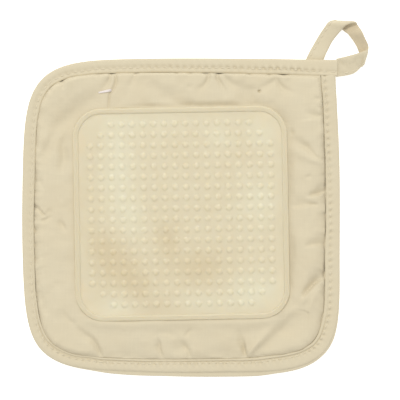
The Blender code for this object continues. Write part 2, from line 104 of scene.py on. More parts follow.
# Folds of the front. Each is a soft trough, or a ridge where depth is below zero, along the line through its
# points, as wide as given to the left and to the right of that line, seen from its start.
Point = namedtuple("Point", "x y depth left right")
FOLDS = {
    "upper left": (
        Point(-50.0, 76.8, 0.4, 2.8, 3.2),
        Point(-54.5, 74.0, 1.7, 4.6, 4.5),
        Point(-60.5, 70.5, 2.5, 6.9, 6.2),
        Point(-64.7, 67.3, 3.0, 7.5, 7.0),
        Point(-69.7, 63.0, 2.8, 6.9, 6.7),
        Point(-74.2, 59.8, 2.8, 5.8, 5.9),
        Point(-78.0, 56.0, 1.8, 4.6, 5.2),
        Point(-80.0, 51.0, 1.6, 3.9, 3.1),
        Point(-82.8, 45.0, 1.5, 3.9, 3.1),
        Point(-86.5, 39.0, 1.2, 3.4, 2.6),
        Point(-90.0, 36.0, 0.3, 2.3, 2.4),
    ),
    "left, beside the patch": (
        Point(-71.2, 58.0, 0.3, 3.9, 3.9),
        Point(-72.6, 50.0, 1.6, 3.1, 3.4),
        Point(-74.0, 44.0, 2.4, 3.4, 3.4),
        Point(-73.2, 38.0, 2.7, 3.4, 3.4),
        Point(-74.2, 32.0, 2.0, 3.4, 3.6),
        Point(-73.6, 27.0, 0.3, 3.1, 3.4),
    ),
    "left, upper hollow": (
        Point(-85.5, 73.0, 0.0, 4.0, 2.0),
        Point(-87.0, 67.0, 1.0, 4.5, 2.0),
        Point(-88.0, 60.0, 1.0, 4.5, 2.0),
        Point(-88.5, 54.0, 0.6, 4.0, 2.0),
        Point(-89.0, 49.0, 0.0, 3.0, 2.0),
    ),
    "left smudge": (
        Point(-88.4, 26.0, 0.0, 1.8, 1.5),
        Point(-88.0, 22.0, 0.9, 1.9, 1.5),
        Point(-86.4, 18.4, 0.5, 1.6, 1.6),
        Point(-85.0, 16.0, 0.0, 1.5, 1.5),
    ),
    "left edge": (
        Point(-91.8, 7.2, 2.4, 1.3, 1.3),
        Point(-89.3, 5.0, 2.0, 1.1, 1.3),
        Point(-86.3, 2.0, 1.3, 0.9, 1.1),
        Point(-84.6, 0.6, 0.0, 1.0, 1.0),
    ),
    "left edge, dent": (
        Point(-84.6, 4.4, 0.0, 2.0, 2.0),
        Point(-82.6, 3.4, 0.9, 2.2, 2.2),
        Point(-79.6, 2.4, 0.0, 2.0, 2.0),
    ),
    "left edge, foot": (
        Point(-88.4, -2.6, 0.2, 1.4, 1.4),
        Point(-85.6, -1.8, 1.1, 1.2, 1.5),
        Point(-83.0, -0.4, 1.0, 1.2, 1.4),
        Point(-80.0, 1.4, 0.0, 1.2, 1.2),
    ),
    "left, small": (
        Point(-77.0, -1.4, 0.0, 2.0, 2.0),
        Point(-74.8, -4.0, 1.2, 1.7, 2.0),
        Point(-72.8, -7.2, 0.9, 1.5, 1.8),
        Point(-72.0, -10.0, 0.0, 1.5, 1.5),
    ),
    "tack, left crease": (
        Point(-44.4, 91.0, 1.7, 1.2, 1.0),
        Point(-44.6, 87.0, 1.6, 1.4, 1.2),
        Point(-46.2, 83.6, 1.5, 1.8, 2.6),
        Point(-48.8, 80.8, 1.1, 1.8, 2.6),
        Point(-51.6, 78.4, 0.3, 2.0, 2.0),
    ),
    "tack, right crease": (
        Point(-41.4, 91.0, 1.9, 0.9, 1.0),
        Point(-40.6, 87.0, 1.8, 1.0, 1.1),
        Point(-40.9, 84.0, 1.6, 1.0, 1.1),
        Point(-42.2, 80.8, 1.5, 1.0, 1.0),
        Point(-44.4, 77.4, 1.4, 0.8, 0.8),
        Point(-45.0, 73.0, 1.3, 0.7, 0.8),
        Point(-45.2, 68.6, 0.7, 0.7, 0.8),
    ),
    "top left nick": (
        Point(-74.4, 85.2, 1.2, 1.4, 1.4),
        Point(-74.1, 82.2, 0.7, 1.1, 1.2),
        Point(-73.5, 80.0, 0.0, 1.0, 1.0),
    ),
    "top, faint": (
        Point(-28.5, 90.5, 1.2, 1.4, 1.6),
        Point(-29.8, 86.0, 0.9, 1.6, 2.2),
        Point(-32.0, 82.0, 0.5, 2.0, 2.5),
        Point(-34.0, 78.6, 0.0, 2.0, 2.0),
    ),
    "top, long slant": (
        Point(-19.0, 86.0, 0.0, 2.0, 2.0),
        Point(-16.4, 82.4, 0.9, 3.0, 3.5),
        Point(-12.4, 78.0, 1.2, 4.6, 4.5),
        Point(-6.5, 74.6, 1.2, 4.6, 3.5),
        Point(-1.0, 71.8, 1.3, 4.0, 2.5),
        Point(5.0, 70.4, 1.3, 3.4, 1.4),
    ),
    "top crease A": (
        Point(17.4, 90.6, 1.9, 1.1, 1.1),
        Point(17.2, 87.5, 1.7, 1.2, 1.2),
        Point(15.8, 84.0, 1.3, 1.5, 1.6),
        Point(12.8, 81.4, 0.9, 2.2, 1.8),
        Point(9.0, 80.4, 0.0, 2.4, 2.0),
    ),
    "top smudge": (
        Point(3.0, 82.2, 0.0, 1.6, 1.6),
        Point(5.6, 81.8, 0.7, 1.6, 1.6),
        Point(8.2, 82.0, 0.0, 1.6, 1.6),
    ),
    "top crease B": (
        Point(22.8, 90.6, 2.3, 1.2, 1.2),
        Point(23.3, 87.0, 2.1, 1.2, 1.3),
        Point(25.0, 84.0, 1.5, 1.4, 1.5),
        Point(27.0, 80.5, 1.1, 1.8, 2.0),
        Point(27.8, 77.0, 0.6, 2.0, 2.2),
        Point(28.0, 74.4, 0.0, 2.0, 2.0),
    ),
    "top crease C": (
        Point(26.8, 89.0, 1.4, 1.7, 1.6),
        Point(29.5, 85.6, 1.5, 2.1, 1.8),
        Point(33.0, 83.0, 1.3, 2.5, 2.4),
        Point(37.0, 81.4, 1.0, 2.9, 3.6),
        Point(43.0, 79.8, 0.8, 3.1, 4.1),
        Point(47.5, 79.6, 0.8, 2.9, 3.6),
        Point(51.0, 81.0, 1.0, 2.3, 3.1),
        Point(55.0, 83.4, 1.0, 2.0, 2.4),
        Point(58.5, 85.8, 0.9, 1.6, 1.8),
        Point(60.0, 88.6, 0.3, 1.3, 1.4),
    ),
    "top, below the arch": (
        Point(34.0, 76.8, 0.0, 4.5, 3.3),
        Point(39.0, 74.6, 1.4, 6.5, 3.3),
        Point(44.0, 72.4, 2.0, 7.4, 3.3),
        Point(48.0, 73.2, 1.3, 6.9, 3.3),
        Point(52.0, 75.8, 0.0, 5.9, 3.3),
    ),
    "top crease D": (
        Point(59.8, 88.6, 0.6, 1.1, 1.1),
        Point(61.3, 84.6, 1.4, 1.3, 1.5),
        Point(63.8, 81.6, 1.3, 1.5, 2.2),
        Point(67.0, 79.6, 1.0, 1.7, 2.4),
        Point(72.0, 77.6, 0.0, 1.6, 2.0),
    ),
    "round the patch": (
        Point(-34.0, 69.6, 0.2, 1.3, 1.0),
        Point(-18.0, 69.8, 0.8, 1.4, 1.0),
        Point(-5.0, 69.9, 0.5, 1.4, 1.0),
        Point(5.0, 70.0, 0.8, 1.9, 1.0),
        Point(10.0, 70.0, 1.5, 2.3, 1.0),
        Point(22.0, 70.1, 1.7, 2.5, 1.0),
        Point(34.0, 70.2, 1.4, 2.3, 1.0),
        Point(42.0, 70.4, 0.7, 2.1, 1.0),
        Point(50.0, 70.4, 0.8, 2.1, 1.0),
        Point(57.0, 68.2, 1.1, 3.9, 1.2),
        Point(61.5, 64.4, 1.4, 4.6, 1.2),
        Point(65.3, 59.3, 1.4, 4.6, 1.2),
        Point(67.0, 54.0, 1.1, 3.9, 1.2),
        Point(67.6, 49.0, 1.2, 3.7, 1.2),
        Point(67.6, 40.0, 1.0, 3.2, 1.2),
        Point(67.6, 28.0, 1.4, 3.2, 1.2),
        Point(67.7, 18.0, 1.4, 3.2, 1.2),
        Point(67.8, 8.0, 0.6, 2.8, 1.2),
        Point(67.9, -5.0, 0.8, 3.0, 1.2),
        Point(68.0, -20.0, 1.6, 3.4, 1.2),
        Point(68.1, -40.0, 1.3, 3.2, 1.2),
        Point(68.0, -46.0, 0.9, 3.2, 1.2),
        Point(66.5, -52.0, 0.6, 3.0, 1.2),
        Point(62.0, -57.5, 0.0, 2.3, 1.2),
    ),
    "foot of the patch": (
        Point(64.0, -56.4, 0.0, 3.2, 2.2),
        Point(52.0, -64.9, -1.1, 3.4, 2.2),
        Point(0.0, -65.5, -1.2, 3.5, 2.2),
        Point(-50.0, -66.5, -1.2, 3.5, 2.2),
        Point(-63.0, -57.8, 0.0, 3.2, 2.2),
    ),
    "right smudge 1": (
        Point(69.0, 56.4, 0.0, 1.5, 1.5),
        Point(69.6, 53.4, 1.0, 1.5, 1.5),
        Point(70.3, 51.0, 0.0, 1.5, 1.5),
    ),
    "right smudge 2": (
        Point(83.0, 74.9, 0.0, 1.4, 1.2),
        Point(86.0, 74.4, 0.9, 1.4, 1.2),
        Point(90.0, 74.6, 1.2, 1.3, 1.1),
    ),
    "right smudge 3": (
        Point(84.4, 69.6, 0.0, 1.3, 1.1),
        Point(87.0, 69.0, 0.8, 1.3, 1.1),
        Point(90.0, 69.0, 1.0, 1.3, 1.1),
    ),
    "right, upper hollow": (
        Point(77.0, 66.8, 0.0, 2.0, 1.8),
        Point(81.0, 64.9, 1.0, 2.2, 1.6),
        Point(84.5, 63.6, 1.2, 2.2, 1.5),
        Point(88.5, 64.0, 1.4, 1.8, 1.3),
        Point(90.5, 65.0, 1.0, 1.5, 1.0),
    ),
    "right upper": (
        Point(70.0, 49.6, 0.4, 2.5, 2.5),
        Point(75.0, 46.6, 1.4, 2.8, 2.5),
        Point(78.8, 44.0, 1.8, 2.3, 2.0),
        Point(82.0, 41.0, 1.1, 1.5, 1.6),
        Point(84.8, 38.3, 0.9, 1.0, 1.3),
        Point(88.5, 36.7, 0.7, 0.9, 1.2),
        Point(90.6, 36.4, 0.3, 1.0, 1.0),
    ),
    "right upper ridge": (
        Point(69.0, 43.0, -0.4, 3.0, 3.0),
        Point(76.0, 39.0, -0.8, 3.0, 3.0),
        Point(84.0, 35.6, -0.9, 2.0, 2.0),
        Point(89.0, 34.0, -0.7, 1.6, 1.6),
    ),
    "right, spot": (
        Point(77.4, 25.0, 0.0, 1.3, 1.3),
        Point(80.0, 25.6, 0.8, 1.3, 1.3),
        Point(82.2, 26.8, 0.0, 1.3, 1.3),
    ),
    "right strong": (
        Point(80.3, 13.4, 0.7, 2.0, 0.9),
        Point(83.0, 14.2, 2.6, 2.5, 0.9),
        Point(86.0, 14.9, 3.6, 3.5, 0.9),
        Point(89.0, 16.0, 4.1, 4.7, 1.0),
        Point(91.0, 16.8, 4.1, 5.2, 1.0),
    ),
    "right broad": (
        Point(68.6, 8.2, 0.4, 4.0, 1.5),
        Point(72.5, 7.6, 1.4, 4.4, 1.6),
        Point(77.0, 8.0, 1.4, 3.6, 1.2),
        Point(81.0, 8.1, 1.5, 2.0, 0.9),
        Point(84.5, 8.0, 1.0, 1.3, 0.8),
        Point(87.4, 7.8, 0.0, 1.2, 0.8),
    ),
    "right lower": (
        Point(77.4, -18.3, 0.0, 2.0, 0.9),
        Point(80.5, -17.6, 1.3, 2.6, 0.9),
        Point(84.0, -16.8, 1.9, 3.6, 0.9),
        Point(87.0, -16.6, 2.3, 4.4, 1.0),
        Point(90.0, -16.8, 2.3, 5.0, 1.2),
    ),
    "right lower strong": (
        Point(75.6, -49.8, 0.3, 1.9, 0.9),
        Point(78.0, -47.6, 2.2, 2.2, 0.9),
        Point(81.0, -44.4, 3.2, 3.0, 0.9),
        Point(84.0, -41.4, 4.1, 4.0, 0.9),
        Point(87.0, -39.2, 4.2, 5.6, 0.9),
        Point(90.5, -37.8, 4.1, 6.9, 1.0),
    ),
    "right lower ridge": (
        Point(79.4, -54.6, 0.0, 2.0, 2.0),
        Point(83.0, -50.5, -0.6, 2.3, 2.5),
        Point(86.5, -46.5, -0.9, 2.6, 2.5),
        Point(89.5, -43.0, -0.6, 2.4, 2.0),
    ),
    "right streak 1": (
        Point(72.0, -56.4, 0.0, 1.3, 1.4),
        Point(75.0, -54.0, -0.5, 1.3, 1.6),
        Point(78.0, -51.0, -0.6, 1.3, 1.6),
        Point(80.6, -47.4, -0.2, 1.2, 1.4),
    ),
    "right streak 2": (
        Point(80.6, -60.0, 0.0, 1.5, 1.8),
        Point(81.8, -54.5, -0.7, 1.2, 1.5),
        Point(82.8, -50.6, 0.0, 1.1, 1.2),
    ),
    "right, below the corner": (
        Point(66.0, -55.4, 0.0, 3.0, 2.4),
        Point(70.0, -54.9, 0.7, 4.0, 2.0),
        Point(74.0, -54.4, 0.6, 3.5, 1.8),
        Point(76.4, -53.0, 0.0, 2.5, 1.6),
    ),
    "right dent 1": (
        Point(69.4, -11.0, 0.0, 2.5, 2.1),
        Point(70.0, -14.4, 0.5, 2.5, 2.1),
        Point(70.4, -18.0, 0.4, 2.5, 2.1),
        Point(70.8, -24.0, 0.4, 2.5, 2.1),
        Point(70.6, -28.0, 0.0, 2.5, 2.1),
    ),
    "diagonal ridge": (
        Point(42.6, -88.4, -0.8, 0.9, 1.1),
        Point(43.8, -84.0, -1.5, 1.2, 1.8),
        Point(46.8, -80.0, -1.9, 1.6, 2.6),
        Point(51.0, -75.8, -1.3, 2.2, 3.0),
        Point(56.0, -70.8, -1.0, 3.0, 3.4),
        Point(62.0, -64.6, -0.7, 3.5, 3.5),
        Point(68.0, -58.8, -0.4, 3.5, 3.5),
        Point(72.0, -55.0, 0.0, 3.0, 3.0),
    ),
    "diagonal hollow": (
        Point(46.0, -88.0, 0.2, 1.8, 2.2),
        Point(48.6, -84.4, 1.1, 3.1, 4.4),
        Point(53.0, -79.9, 1.6, 3.7, 5.5),
        Point(58.0, -75.6, 1.7, 3.7, 6.1),
        Point(64.0, -70.4, 1.6, 3.7, 6.6),
        Point(70.0, -65.4, 1.2, 4.0, 6.6),
        Point(76.0, -60.4, 0.3, 4.0, 6.0),
        Point(80.0, -57.0, 0.0, 4.0, 5.0),
    ),
    "below the patch corner": (
        Point(34.4, -72.8, 0.1, 2.9, 2.3),
        Point(39.0, -72.6, 0.5, 3.1, 2.5),
        Point(45.0, -71.8, 0.5, 3.4, 3.1),
        Point(51.0, -70.0, 0.4, 3.4, 3.1),
        Point(56.0, -67.6, 0.0, 3.1, 3.1),
    ),
    "beside the crease": (
        Point(36.4, -72.0, 0.4, 1.5, 1.8),
        Point(37.4, -77.0, 0.6, 1.5, 2.0),
        Point(38.0, -81.0, 0.0, 1.5, 2.0),
    ),
    "bottom right crease": (
        Point(37.4, -72.5, 0.0, 1.6, 3.0),
        Point(38.9, -78.0, 1.5, 1.4, 2.8),
        Point(39.9, -82.0, 3.0, 0.9, 2.4),
        Point(40.6, -86.0, 2.8, 0.8, 1.8),
        Point(41.0, -90.4, 2.2, 0.8, 1.2),
    ),
    "bottom, right hollow": (
        Point(14.0, -84.4, 0.0, 4.0, 2.0),
        Point(22.0, -86.0, 1.0, 4.6, 2.0),
        Point(30.0, -86.6, 1.2, 5.0, 2.0),
        Point(37.6, -87.0, 0.8, 4.0, 2.0),
    ),
    "bottom puff, left": (
        Point(-15.0, -75.0, 0.2, 0.9, 2.2),
        Point(-13.4, -79.0, 1.6, 0.9, 2.7),
        Point(-13.2, -82.0, 1.9, 0.9, 2.7),
        Point(-12.2, -85.5, 1.7, 0.9, 2.0),
        Point(-11.2, -89.4, 1.2, 0.8, 1.3),
    ),
    "bottom puff, right": (
        Point(-0.8, -76.6, 0.2, 1.8, 1.8),
        Point(2.2, -80.4, 1.4, 1.9, 1.6),
        Point(4.4, -83.8, 1.6, 1.9, 1.4),
        Point(5.6, -88.4, 1.5, 1.7, 1.3),
    ),
    "bottom puff": (
        Point(-8.0, -82.5, 0.4, 3.6, 3.6),
        Point(-3.0, -82.8, 1.5, 4.2, 4.2),
        Point(1.5, -83.2, 1.3, 4.0, 4.0),
        Point(4.0, -84.0, 0.2, 3.4, 3.4),
    ),
    "bottom puff, head": (
        Point(-9.0, -78.8, 0.0, 2.1, 1.7),
        Point(-6.0, -78.8, 0.3, 2.2, 1.7),
        Point(-2.0, -78.6, 0.3, 2.2, 1.7),
        Point(1.4, -77.8, 0.0, 2.1, 1.7),
    ),
    "above the puff": (
        Point(-18.0, -74.6, 0.1, 2.1, 2.1),
        Point(-14.0, -72.6, 0.5, 2.0, 1.8),
        Point(-9.0, -72.4, 0.5, 2.0, 1.8),
        Point(-4.0, -74.2, 0.5, 2.0, 1.8),
        Point(-1.0, -76.0, 0.0, 1.8, 1.8),
    ),
    "bottom, small": (
        Point(6.8, -69.2, 0.0, 1.2, 1.2),
        Point(5.2, -71.6, 0.8, 1.2, 1.2),
        Point(3.6, -73.6, 0.6, 1.2, 1.2),
        Point(2.0, -75.4, 0.0, 1.2, 1.2),
    ),
    "bottom, left hollow": (
        Point(-49.0, -86.8, 0.8, 5.0, 1.5),
        Point(-41.0, -86.8, 1.5, 5.4, 1.5),
        Point(-30.0, -87.4, 1.1, 4.8, 1.5),
        Point(-19.0, -88.0, 0.2, 4.0, 1.5),
    ),
    "bottom left, start": (
        Point(-75.0, -57.0, 0.0, 2.0, 2.0),
        Point(-72.4, -62.0, 0.8, 2.0, 2.0),
        Point(-68.5, -65.8, 0.8, 2.0, 2.0),
        Point(-65.6, -68.0, 0.0, 2.0, 2.0),
    ),
    "bottom left": (
        Point(-68.0, -66.6, 0.0, 2.0, 2.5),
        Point(-64.5, -70.2, 1.1, 2.2, 3.0),
        Point(-60.0, -73.6, 1.7, 2.2, 3.0),
        Point(-56.2, -76.2, 2.1, 2.0, 2.6),
        Point(-53.4, -79.6, 2.1, 1.6, 2.0),
        Point(-51.4, -83.6, 2.0, 1.4, 1.8),
        Point(-50.0, -88.4, 1.8, 1.3, 1.6),
    ),
    "left, lower smudge": (
        Point(-87.6, -46.0, 0.0, 2.0, 1.5),
        Point(-87.0, -52.0, 1.0, 2.4, 1.5),
        Point(-85.8, -57.0, 0.9, 2.2, 1.5),
        Point(-84.4, -61.6, 0.0, 2.0, 1.5),
    ),
    "right margin swell": (
        Point(79.5, 62.0, 0.0, 5.7, 5.7),
        Point(80.0, 50.0, -0.7, 5.7, 5.7),
        Point(80.5, -50.0, -0.7, 5.7, 5.7),
        Point(80.0, -60.0, 0.0, 5.7, 5.7),
    ),
}

# Pits where the front is caught under the tape, and how far in from the tape they reach.
NICK_RUN = 1.3
Nick = namedtuple("Nick", "x y reach depth")
NICKS = (
    Nick(-74.6, 85.3, 1.9, 2.2),
    Nick(-72.2, 86.7, 1.2, 1.2),
    Nick(-61.0, 89.6, 3.0, 0.7),
    Nick(-51.0, 90.4, 2.6, 0.8),
    Nick(-43.3, 90.4, 2.2, 2.4),
    Nick(-28.0, 90.4, 1.9, 1.9),
    Nick(-2.6, 90.8, 1.4, 1.5),
    Nick(6.0, 90.6, 1.8, 1.4),
    Nick(15.2, 90.3, 2.0, 1.8),
    Nick(16.8, 89.6, 1.0, 1.2),
    Nick(24.2, 90.2, 2.3, 2.5),
    Nick(43.0, 90.1, 1.7, 1.3),
    Nick(55.5, 89.9, 1.6, 1.2),
    Nick(64.4, 89.7, 2.8, 1.7),
    Nick(-91.2, 6.5, 1.8, 1.6),
    Nick(89.4, 20.0, 3.6, 1.2),
    Nick(89.4, -33.0, 4.5, 1.2),
    Nick(41.0, -90.0, 1.6, 0.8),
)
SPECK = Nick(49.3, 79.1, 0.85, 2.2)

# ---- Binding

BINDING_START = 0.93  # on the right side, under the end of the top run, as a share of the half size
BINDING_LAST = 0.96  # the last section on the top side, as such a share
BINDING_END_X = 98.4
TUCKED = 2.0  # length over which the start of the tape is pressed between the layers of the top run
TUCKED_TO = 0.5  # share of its thickness that is left at its very start
TAPE_SECTIONS = 1180
CLOTH = 0.36  # thickness of the tape's cloth
LIP_LINE = 1.1  # from the stitches in to the thin line behind the lip
LEDGE_HEIGHT = 4.62  # where the back of the tape shows beyond its front
LEDGE_STEP = 0.22  # drop from the front to that ledge
TAPE_MIDDLE = 2.6  # height of the middle of its thickness
SLANT = -0.2  # how far the puckers run on for each millimetre in from the stitches
HOLE, HOLE_LEAST, HOLE_REACH = 0.52, 0.04, 0.9  # holes between the stitches
PUFF, PUFF_AT, PUFF_REACH = 0.38, -0.5, 1.6  # puffs beside them, this far in from the stitches
LIP_AT, LIP_REACH = 1.9, 0.9
LIP_LINE_REACH, LIP_LINE_SPREAD = 0.32, 0.12  # of the thin line, and what each millimetre of its depth adds
SWELL_AT, SWELL_REACH = 0.45, 2.6  # as a share of the tape's width, and as a length
DRAWN_FROM, DRAWN_RUN = 6.2, 5.2  # how far in the drawing in begins, and over what it grows to the full
WIDTH_DRIFT = (Drift(0.22, 9.0, 31),)
SEWN_DRIFT = (Drift(0.35, 6.0, 41),)
SWELL_DRIFT = (Drift(0.14, 7.0, 43), Drift(0.09, 3.0, 44))
LIP_DRIFT = (Drift(0.10, 5.0, 45),)

# The binding and the pad beside it, at these directions from the middle, in degrees anticlockwise from +x:
# the width of the tape on the front, the distance from its folded edge to its stitches, the depth of the
# thin line between its lip and its stitches, the height of the pad beside the lip, its height in the seam
# right at the lip, how far in the pad then takes to rise, how strongly the stitches draw the tape in, how
# far in from the outline the front of the tape ends, and how far its back shows beyond that.
EdgeForm = namedtuple(
    "EdgeForm", "direction width stitch lip_line pad_height seam puff_run sewn drawn_in peek"
)
EDGE_FORMS = (
    EdgeForm(-314.8, 9.8, 2.6, 0.1, 5.3, 5.1, 2.5, 0.9, -0.4, 0.0),
    EdgeForm(-308.0, 9.6, 3.1, 0.1, 5.4, 5.1, 2.4, 2.1, -0.2, 0.0),
    EdgeForm(-301.0, 9.5, 3.2, 0.05, 5.5, 5.1, 2.3, 2.0, -0.2, 0.0),
    EdgeForm(-294.0, 9.4, 3.2, 0.0, 6.0, 4.7, 2.2, 1.4, 0.0, 0.0),
    EdgeForm(-270.0, 9.1, 3.2, 0.0, 6.4, 4.3, 2.2, 1.1, 0.05, 0.0),
    EdgeForm(-255.0, 9.0, 3.2, 0.0, 6.4, 4.4, 2.2, 0.7, 0.1, 0.0),
    EdgeForm(-240.0, 8.7, 2.8, 0.0, 6.2, 4.2, 2.4, 0.5, 0.0, 0.0),
    EdgeForm(-220.0, 7.5, 2.3, 0.0, 5.0, 3.9, 4.2, 0.3, 0.1, 0.0),
    EdgeForm(-200.0, 7.9, 2.0, 0.05, 4.1, 3.9, 6.0, 0.3, 0.15, 0.0),
    EdgeForm(-180.0, 7.5, 2.0, 0.1, 3.9, 3.9, 6.5, 0.25, 0.0, 0.0),
    EdgeForm(-150.0, 7.5, 2.2, 0.3, 4.1, 3.9, 6.5, 0.4, 0.0, 0.0),
    EdgeForm(-143.0, 7.9, 2.5, 0.6, 4.6, 3.9, 4.8, 0.5, 0.1, 0.0),
    EdgeForm(-136.0, 8.3, 3.0, 1.3, 5.2, 4.7, 3.6, 0.6, 0.1, 0.0),
    EdgeForm(-129.0, 8.4, 3.1, 2.0, 5.25, 5.2, 3.4, 0.9, 0.25, 0.0),
    EdgeForm(-121.0, 9.5, 3.1, 2.0, 5.3, 5.3, 4.6, 1.2, 1.1, 0.6),
    EdgeForm(-115.0, 10.1, 3.1, 1.3, 5.4, 5.4, 5.5, 1.4, 1.8, 1.8),
    EdgeForm(-108.0, 10.7, 3.1, 0.9, 5.5, 5.5, 6.0, 1.5, 2.3, 2.3),
    EdgeForm(-96.0, 11.3, 3.1, 0.5, 5.6, 5.6, 6.5, 1.6, 2.4, 2.1),
    EdgeForm(-84.0, 11.4, 3.1, 0.8, 5.6, 5.6, 6.5, 1.6, 2.4, 2.5),
    EdgeForm(-73.0, 11.4, 3.1, 1.0, 5.5, 5.4, 6.0, 1.6, 2.4, 2.8),
    EdgeForm(-64.0, 11.2, 3.1, 0.8, 5.5, 5.2, 5.0, 1.5, 1.8, 2.5),
    EdgeForm(-59.0, 11.5, 3.1, 0.9, 5.2, 4.9, 4.2, 1.4, 1.5, 1.6),
    EdgeForm(-53.0, 11.2, 3.0, 1.0, 5.1, 4.6, 4.6, 1.2, 1.3, 1.4),
    EdgeForm(-46.0, 10.9, 3.0, 0.9, 4.6, 4.3, 5.6, 1.0, 1.0, 0.9),
    EdgeForm(-40.0, 10.0, 3.1, 0.7, 4.3, 3.95, 7.0, 0.9, 0.5, 0.8),
    EdgeForm(-32.0, 9.3, 3.4, 0.3, 3.6, 3.95, 8.5, 1.0, 0.1, 0.2),
    EdgeForm(-15.0, 9.3, 3.1, 0.12, 3.5, 3.95, 8.5, 1.0, 0.1, 0.0),
    EdgeForm(0.0, 8.9, 2.7, 0.12, 3.5, 3.95, 8.0, 1.0, 0.0, 0.0),
    EdgeForm(20.0, 8.8, 2.3, 0.12, 3.6, 3.95, 6.0, 1.0, -0.2, 0.0),
    EdgeForm(32.0, 8.7, 2.0, 0.12, 3.7, 3.95, 3.8, 1.1, 0.0, 0.0),
    EdgeForm(40.0, 9.0, 2.2, 0.12, 4.8, 4.8, 2.8, 1.0, 0.0, 0.0),
    EdgeForm(44.6, 9.3, 2.4, 0.12, 5.05, 5.05, 2.6, 1.0, 0.0, 0.0),
)

# The folded tape in section, from its raw edge on the front round to the one on the back. The distance in
# from the outline is a length, a share of the width on the front, less a share of the way from the folded
# edge to the stitches; steps is for the run to the next row.
TapeFold = namedtuple("TapeFold", "place inwards share stitch_share height steps")
FRONT_STITCH, BACK_STITCH = "front stitch line", "back stitch line"
TAPE_FOLDS = (
    TapeFold("raw edge on the front", 0.0, 0.30, 0.0, 4.30, 1),
    TapeFold("turned in", -0.8, 1.0, 0.0, 4.30, 1),
    TapeFold("fold", -0.16, 1.0, 0.0, 4.42, 1),
    TapeFold("fold", -0.12, 1.0, 0.0, 4.70, 1),
    TapeFold("lip", -0.45, 1.0, 0.0, 4.97, 1),
    TapeFold("lip", 0.0, 1.0, 0.35, 5.08, 2),
    TapeFold("lip line", 1.3, 1.0, 1.0, 5.02, 4),
    TapeFold("beside the lip line", 0.5, 1.0, 1.0, 4.92, 1),
    TapeFold(FRONT_STITCH, 0.0, 1.0, 1.0, 4.84, 3),
    TapeFold("outside the stitches", -1.4, 1.0, 1.0, 5.02, 2),
    TapeFold("plateau", 0.0, 0.40, 0.0, 5.26, 2),
    TapeFold("shoulder", 1.1, 0.05, 0.0, 5.18, 1),
    TapeFold("shoulder", 0.56, 0.0, 0.0, 5.02, 1),
    TapeFold("edge", 0.36, 0.0, 0.0, 4.62, 4),
    TapeFold("edge", 0.22, 0.0, 0.0, 4.30, 1),
    TapeFold("edge", 0.18, 0.0, 0.0, 2.90, 1),
    TapeFold("edge", 0.22, 0.0, 0.0, 1.90, 1),
    TapeFold("edge", 0.45, 0.0, 0.0, 1.00, 1),
    TapeFold("back", 1.1, 0.0, 0.0, 0.35, 1),
    TapeFold("back", 2.4, 0.0, 0.0, 0.22, 1),
    TapeFold("back", -1.2, 1.0, 1.0, 0.22, 1),
    TapeFold(BACK_STITCH, 0.0, 1.0, 1.0, 0.40, 1),
    TapeFold("back", 0.0, 1.0, 0.5, 0.22, 1),
    TapeFold("back", -0.5, 1.0, 0.0, 0.26, 1),
    TapeFold("back fold", -0.12, 1.0, 0.0, 0.50, 1),
    TapeFold("back fold", -0.20, 1.0, 0.0, 0.80, 1),
    TapeFold("turned in", -0.8, 1.0, 0.0, 0.92, 1),
    TapeFold("raw edge on the back", 0.0, 0.30, 0.0, 0.92, 0),
)

# ---- Hanging loop

LOOP_STEPS = 22  # sections between two rows of the table
LOOP_CLOTH = 0.34

# Sections of the loop, from behind the top binding round to the square corner: both edges of the tape, the
# stitched one outside the loop and the folded one inside it. Its first fold stands open as a pocket.
LoopSection = namedtuple("LoopSection", "place outer_x outer_y outer_z inner_x inner_y inner_z thickness")
LOOP_SECTIONS = (
    LoopSection("at the binding", 78.2, 98.6, 1.7, 89.6, 98.6, 1.7, 1.7),
    LoopSection("above the binding", 79.9, 102.6, 1.9, 90.7, 101.6, 1.9, 1.4),
    LoopSection("upper leg", 83.6, 109.3, 1.2, 92.8, 105.9, 1.1, 1.3),
    LoopSection("upper leg", 87.2, 115.4, 1.3, 95.8, 111.4, 1.2, 1.3),
    LoopSection("upper leg", 90.2, 119.8, 1.7, 100.4, 117.1, 2.8, 1.4),
    LoopSection("before the fold", 92.4, 122.5, 2.2, 104.6, 121.1, 5.4, 1.5),
    LoopSection("fold", 95.6, 123.5, 1.8, 109.8, 122.7, 4.0, 1.4),
    LoopSection("in the pocket", 98.2, 121.4, 0.95, 111.2, 121.4, 1.3, 1.4),
    LoopSection("in the pocket", 102.4, 117.6, 0.9, 112.4, 119.6, 1.6, 1.4),
    LoopSection("swell", 105.4, 115.2, 1.3, 114.0, 116.6, 4.9, 1.4),
    LoopSection("tip", 108.4, 111.4, 0.9, 116.1, 112.2, 3.4, 1.3),
    LoopSection("tip", 110.6, 107.4, 0.8, 117.8, 109.0, 1.9, 1.3),
    LoopSection("under the leg", 112.6, 102.6, 0.8, 118.2, 106.6, 1.6, 1.3),
    LoopSection("fold", 115.2, 97.6, 1.5, 117.5, 105.4, 3.3, 1.4),
    LoopSection("after the fold", 113.6, 94.6, 1.6, 115.4, 104.6, 5.2, 1.5),
    LoopSection("lower leg", 108.9, 90.7, 1.3, 109.8, 102.8, 4.6, 1.6),
    LoopSection("lower leg", 103.4, 89.2, 1.5, 103.6, 101.2, 3.8, 2.4),
    LoopSection("square corner", 97.8, 88.4, 1.9, 97.8, 99.9, 3.0, 3.4),
)

